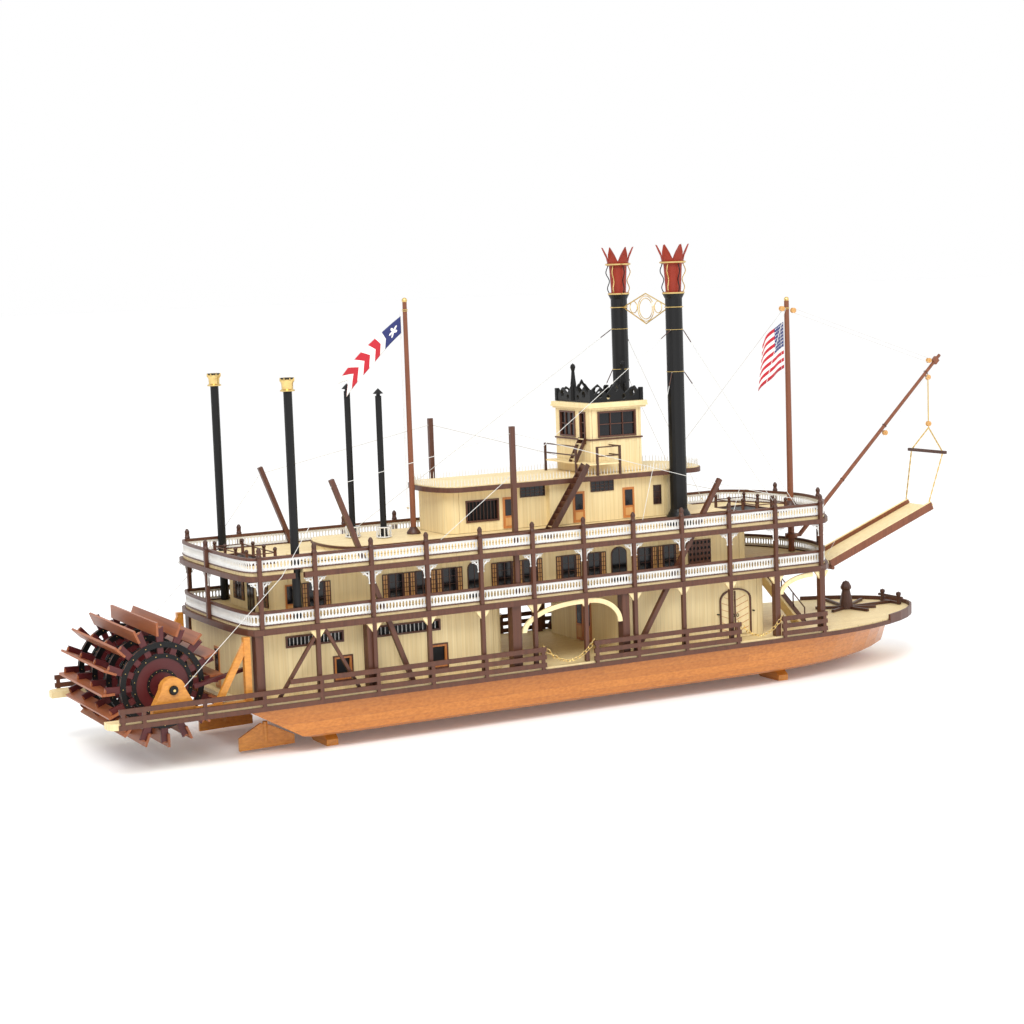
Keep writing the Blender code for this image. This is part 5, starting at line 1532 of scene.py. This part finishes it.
    def build_stage_floor(self) -> None:
        """Pale boards inside the landing stage, with side strips and brass knobs."""
        piece = Piece("stage_floor", ["cream_board", "brass"], "deck_wood", body="boom")
        heel, tip = self.keel(self.stage_heel), self.keel(self.stage_tip)
        along = (tip - heel).normalized()
        upward = along.cross(Vector((0, 1, 0)))
        lift = upward * 0.0030
        piece.add(bar_shape(heel + lift + along * 0.0005, tip + lift - along * 0.0005, 0.0286, 0.0006), "cream_board")
        for _, sign in SIDES:
            rim = Vector((0, sign * 0.0156, 0)) + upward * 0.0069
            piece.add(bar_shape(heel + rim, tip + rim, 0.0018, 0.0005), "cream_board")
            end = tip + Vector((0, sign * 0.0156, 0)) + upward * 0.0040
            piece.add(ball_shape(end, 0.0011, 8), "brass")
        piece.done()


@dataclass
class Rigging:
    """Chimney guys, hog lines and mast stays."""

    line: float = 0.00024

    def build(self) -> None:
        """Builds the standing lines."""
        piece = Piece("standing_lines", ["white_line", "window_frame", "brass"], "white_metal")
        for start, end in self.guys():
            self.guy(piece, start, end)
        for line in self.hog_lines() + self.stays():
            piece.add(wire_shape(line, self.line, 4), "white_line")
        piece.done(smooth=60.0)

    def guys(self) -> list[tuple[Vector, Vector]]:
        """From each chimney's hoops to the hurricane deck's edge."""
        lines = []
        rail = HURRICANE_RAIL_TOP - 0.0060
        for _, sign in SIDES:
            for height, aft, fore in ((0.2856, 2.10, 9.60), (0.2530, 6.20, 9.20)):
                for place, facing in ((aft, -1), (fore, 1)):
                    start = Vector((station(CHIMNEY_STATION) + facing * CHIMNEY_RADIUS * 0.8,
                                    sign * (CHIMNEY_HALF + CHIMNEY_RADIUS * 0.55), height))
                    lines.append((start, Vector((station(place), sign * 0.0715, rail))))
        return lines

    def guy(self, piece: Piece, start: Vector, end: Vector) -> None:
        """One guy with its turnbuckle near the hoop and an eye at the deck."""
        along = (end - start).normalized()
        piece.add(wire_shape([start, end], self.line, 4), "white_line")
        piece.add(rod_shape(start + along * 0.0010, start + along * 0.0120, 0.00038, sides=6), "window_frame")
        piece.add(ball_shape(end, 0.0007, 6), "brass")

    def hog_lines(self) -> list[list[Point]]:
        """The line over the hog posts of each side, from the wheel beam to the fore deck."""
        lines = []
        for _, sign in SIDES:
            y = sign * 0.0692
            aft, middle, fore = (station(0.40), y, 0.1880), (station(3.74), y, 0.2165), (station(7.90), y, 0.1650)
            lines.append([(station(-2.30), sign * 0.0752, 0.0600), (station(-0.60), sign * 0.0772, 0.1290), aft])
            lines.append([aft, middle])
            lines.append([middle, fore])
            lines.append([fore, (station(9.92), sign * 0.0730, 0.1436)])
        return lines

    def stays(self) -> list[list[Point]]:
        """Two stays from the fore mast's head down to each side of the upper deck."""
        head = (station(FORE_MAST_STATION), 0.0, 0.3000)
        return [[head, (station(8.10), sign * 0.0715, HURRICANE_RAIL_TOP - 0.0060)] for _, sign in SIDES]


@dataclass(frozen=True)
class FlagCloth:
    """Printed cotton of a flag, drawn on its own length and depth."""

    name: str
    stripes: float
    canton: Flat
    stars: Flat
    across: bool

    def make(self) -> bpy.types.Material:
        """Builds the material.

        Returns:
            Striped cloth with a blue canton, small white stars and a fine weave.
        """
        red, white, blue = (0.46, 0.014, 0.026), (0.82, 0.80, 0.76), (0.018, 0.026, 0.13)
        bench = ShaderBench(self.name, 0.85)
        bench.shader.inputs["Sheen Weight"].default_value = 0.2
        uv = bench.tree.nodes.new("ShaderNodeUVMap")
        parts = bench.node("SeparateXYZ", Vector=uv.outputs["UV"])
        u, v = parts.outputs["X"], parts.outputs["Y"]
        band = bench.math("MULTIPLY", u if self.across else v, self.stripes)
        odd = bench.math("LESS_THAN", bench.math("FRACT", bench.math("MULTIPLY", band, 0.5)), 0.5)
        cloth = bench.mix(odd, white, red)
        inside = bench.math("MULTIPLY", bench.math("LESS_THAN", u, self.canton[0]),
                            bench.math("GREATER_THAN", v, self.canton[1]))
        cloth = bench.mix(inside, cloth, blue)
        du = bench.math("SUBTRACT", bench.math("FRACT", bench.math("MULTIPLY", u, self.stars[0])), 0.5)
        dv = bench.math("SUBTRACT", bench.math("FRACT", bench.math("MULTIPLY", v, self.stars[1])), 0.5)
        reach = bench.math("SQRT", bench.math("ADD", bench.math("MULTIPLY", du, du), bench.math("MULTIPLY", dv, dv)))
        points = bench.math("ADD", bench.math("MULTIPLY", bench.math("COSINE", bench.math(
            "MULTIPLY", bench.math("ARCTAN2", dv, du), 5.0)), 0.09), 0.20)
        star = bench.math("MULTIPLY", inside, bench.math("LESS_THAN", reach, points))
        bench.colour(bench.mix(star, cloth, white))
        weave = bench.node("TexNoise", Vector=uv.outputs["UV"], Scale=260.0, Detail=1.0).outputs["Fac"]
        bench.bump(weave, 0.00005, 0.5)
        return bench.material


@dataclass
class Flags:
    """The pennant on the aft mast and the flag on the fore mast, as hung cloth."""

    columns: int = 36
    rows: int = 12
    thickness: float = 0.00025

    def build(self) -> None:
        """Builds both flags."""
        x = station(AFT_MAST_STATION)
        corners = [(x - 0.0034, 0.3045), (x - 0.0590, 0.2565), (x - 0.0500, 0.2465), (x - 0.0034, 0.2920)]
        cloth = FlagCloth("pennant_cloth", 10.0, (0.30, 0.0), (3.4, 1.0), True)
        self.sheet("pennant_sheet", corners, cloth, "pennant", notch=0.13, bulge=0.0034, ripple=0.0016)
        x = station(FORE_MAST_STATION)
        corners = [(x - 0.0036, 0.2860), (x - 0.0260, 0.2680), (x - 0.0290, 0.2300), (x - 0.0036, 0.2480)]
        cloth = FlagCloth("flag_cotton", 13.0, (0.42, 0.4615), (17.0, 14.0), False)
        self.sheet("flag_sheet", corners, cloth, "flag", notch=0.0, bulge=0.0026, ripple=0.0022)

    def sheet(self, name: str, corners: Sequence[Flat], cloth: FlagCloth, node: str, notch: float, bulge: float,
              ripple: float) -> None:
        """One flag: a grid laid between its corners, then hung in soft folds.

        Args:
            name: the piece's name.
            corners: upper hoist, upper fly, lower fly and lower hoist, as (x, z).
            cloth: its finish.
            node: the CAD node that it replaces.
            notch: how deep the fly is cut, as a share of the length.
            bulge: how far the middle of its length arches up.
            ripple: depth of the folds.
        """
        shape = bmesh.new()
        shape.loops.layers.uv.new("cloth")
        bmesh.ops.create_grid(shape, x_segments=self.columns, y_segments=self.rows, size=0.5, calc_uvs=True)
        upper_hoist, upper_fly, lower_fly, lower_hoist = (Vector(corner) for corner in corners)
        for vert in shape.verts:
            u, v = vert.co.x + 0.5, vert.co.y + 0.5
            u *= 1.0 - notch * (1.0 - abs(2.0 * v - 1.0))
            low, high = lower_hoist.lerp(lower_fly, u), upper_hoist.lerp(upper_fly, u)
            flat = low.lerp(high, v)
            sway = ripple * u ** 0.6 * math.sin(2 * math.pi * (1.35 * u + 0.30 * v) + 0.4)
            vert.co = (flat.x, sway, flat.y + bulge * math.sin(math.pi * u) * (0.6 + 0.4 * v))
        area = sum(face.calc_area() for face in shape.faces)
        mesh = bpy.data.meshes.new(name)
        shape.to_mesh(mesh)
        shape.free()
        mesh.materials.append(cloth.make())
        mesh.shade_smooth()
        made = bpy.data.objects.new(name, mesh)
        bpy.context.scene.collection.objects.link(made)
        thick = made.modifiers.new("thickness", "SOLIDIFY")
        thick.thickness = self.thickness
        thick.offset = 0.0
        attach(made, "hull")
        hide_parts(node)


def dress_frame() -> None:
    """Gives each CAD node that stays its finish."""
    wood_by_node = {
        "hull": "hull_planks",
        "boom": "mast_wood", "landing_stage": "mast_wood", "aft_mast": "mast_wood", "fore_mast": "mast_wood",
        "main_deck": "deck_planks", "boiler_deck": "deck_planks", "hurricane_deck": "deck_planks",
        "texas_platform": "deck_planks", "texas_roof": "deck_planks", "pilot_house_roof": "cream_board",
        "guard": "trim_along", "boiler_deck_frame": "trim_upright", "gallery_frame": "trim_upright",
        "cradle_aft": "cradle_wood", "cradle_fore": "cradle_wood",
        "boiler_balustrade": "white_metal", "hurricane_balustrade": "white_metal",
        "paddle_wheel": "sapele", "wheel_shaft": "satin_black", "stage_sling": "brass",
        "capstan_and_bitts": "window_frame", "fore_stair": "cream_board", "texas_stair": "trim_along",
        "pilot_house_crown": "satin_black", "connecting_rod_starboard": "arm_red",
        "connecting_rod_port": "arm_red", "rudder_starboard": "cradle_wood", "rudder_port": "cradle_wood",
        "chimney_starboard": "stack_paint", "chimney_port": "stack_paint",
        "wheel_support_starboard": "cradle_wood", "wheel_support_port": "cradle_wood",
    }
    for name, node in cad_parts.items():
        chosen = wood_by_node.get(name)
        if chosen is None:
            chosen = "satin_black" if name.startswith(("escape_pipe", "steam_pipe")) else "wall_boards"
        node.data.materials.clear()
        node.data.materials.append(finish(chosen))
        LOG.info("%s keeps its solid, finished as %s", name, chosen)


@dataclass
class Studio:
    """Camera, floor and soft light."""

    camera_place: Point = (-0.79288, -1.44439, 0.33135)
    right: Point = (0.883226, -0.467659, -0.034744)
    down: Point = (-0.082381, -0.081794, -0.993239)
    forward: Point = (0.461655, 0.880116, -0.110769)
    lens: float = 74.442
    floor_size: float = 60.0

    def build(self) -> None:
        """Builds the camera, the floor and the lights."""
        self.build_camera()
        self.build_floor()
        self.build_lights()

    def build_camera(self) -> None:
        """The photograph's viewpoint."""
        data = bpy.data.cameras.new("camera")
        data.lens = self.lens
        data.sensor_width = 36.0
        data.sensor_fit = "HORIZONTAL"
        data.clip_start = 0.01
        data.clip_end = 100.0
        camera = bpy.data.objects.new("camera", data)
        columns = (Vector(self.right), -Vector(self.down), -Vector(self.forward))
        turn = Matrix(columns).transposed().to_4x4()
        camera.matrix_world = Matrix.Translation(self.camera_place) @ turn
        bpy.context.scene.collection.objects.link(camera)
        bpy.context.scene.camera = camera

    def build_floor(self) -> None:
        """A plain pale floor."""
        shape = bmesh.new()
        bmesh.ops.create_grid(shape, x_segments=1, y_segments=1, size=self.floor_size / 2)
        mesh = bpy.data.meshes.new("floor")
        shape.to_mesh(mesh)
        shape.free()
        bench = ShaderBench("studio_floor", 0.9)
        bench.colour((0.93, 0.93, 0.93))
        bench.shader.inputs["Specular IOR Level"].default_value = 0.1
        bench.shader.inputs["Emission Color"].default_value = (1.0, 1.0, 1.0, 1.0)
        bench.shader.inputs["Emission Strength"].default_value = 0.08
        mesh.materials.append(bench.material)
        floor = bpy.data.objects.new("floor", mesh)
        bpy.context.scene.collection.objects.link(floor)

    def build_lights(self) -> None:
        """An even white surround, a broad key from the upper left and a weak fill from the right."""
        world = bpy.data.worlds.new("studio")
        bpy.context.scene.world = world
        world.use_nodes = True
        background = world.node_tree.nodes["Background"]
        background.inputs["Color"].default_value = (1.0, 1.0, 1.0, 1.0)
        background.inputs["Strength"].default_value = 1.0
        for name, place, size, energy in (
            ("key", (-1.1, -1.5, 1.9), 1.2, 40.0),
            ("fill", (1.6, -1.2, 1.2), 1.6, 8.0),
        ):
            data = bpy.data.lights.new(name, "AREA")
            data.shape = "DISK"
            data.size = size
            data.energy = energy
            lamp = bpy.data.objects.new(name, data)
            lamp.location = place
            lamp.rotation_euler = (Vector((0, 0, 0.1)) - Vector(place)).to_track_quat("-Z", "Y").to_euler()
            bpy.context.scene.collection.objects.link(lamp)


def main() -> None:
    """Dresses the frame, builds each sub-assembly and lights the studio."""
    logging.basicConfig(level=logging.INFO, format="%(name)s %(message)s")
    bpy.context.scene.view_settings.view_transform = "Standard"
    Studio().build()
    dress_frame()
    for part in (Galleries(), Joinery(), PaddleWheel(), Stacks(), UpperWorks(), MainDeckWork(), Spars(), Rigging(),
                 Flags()):
        part.build()


if __name__ == "__main__":
    main()
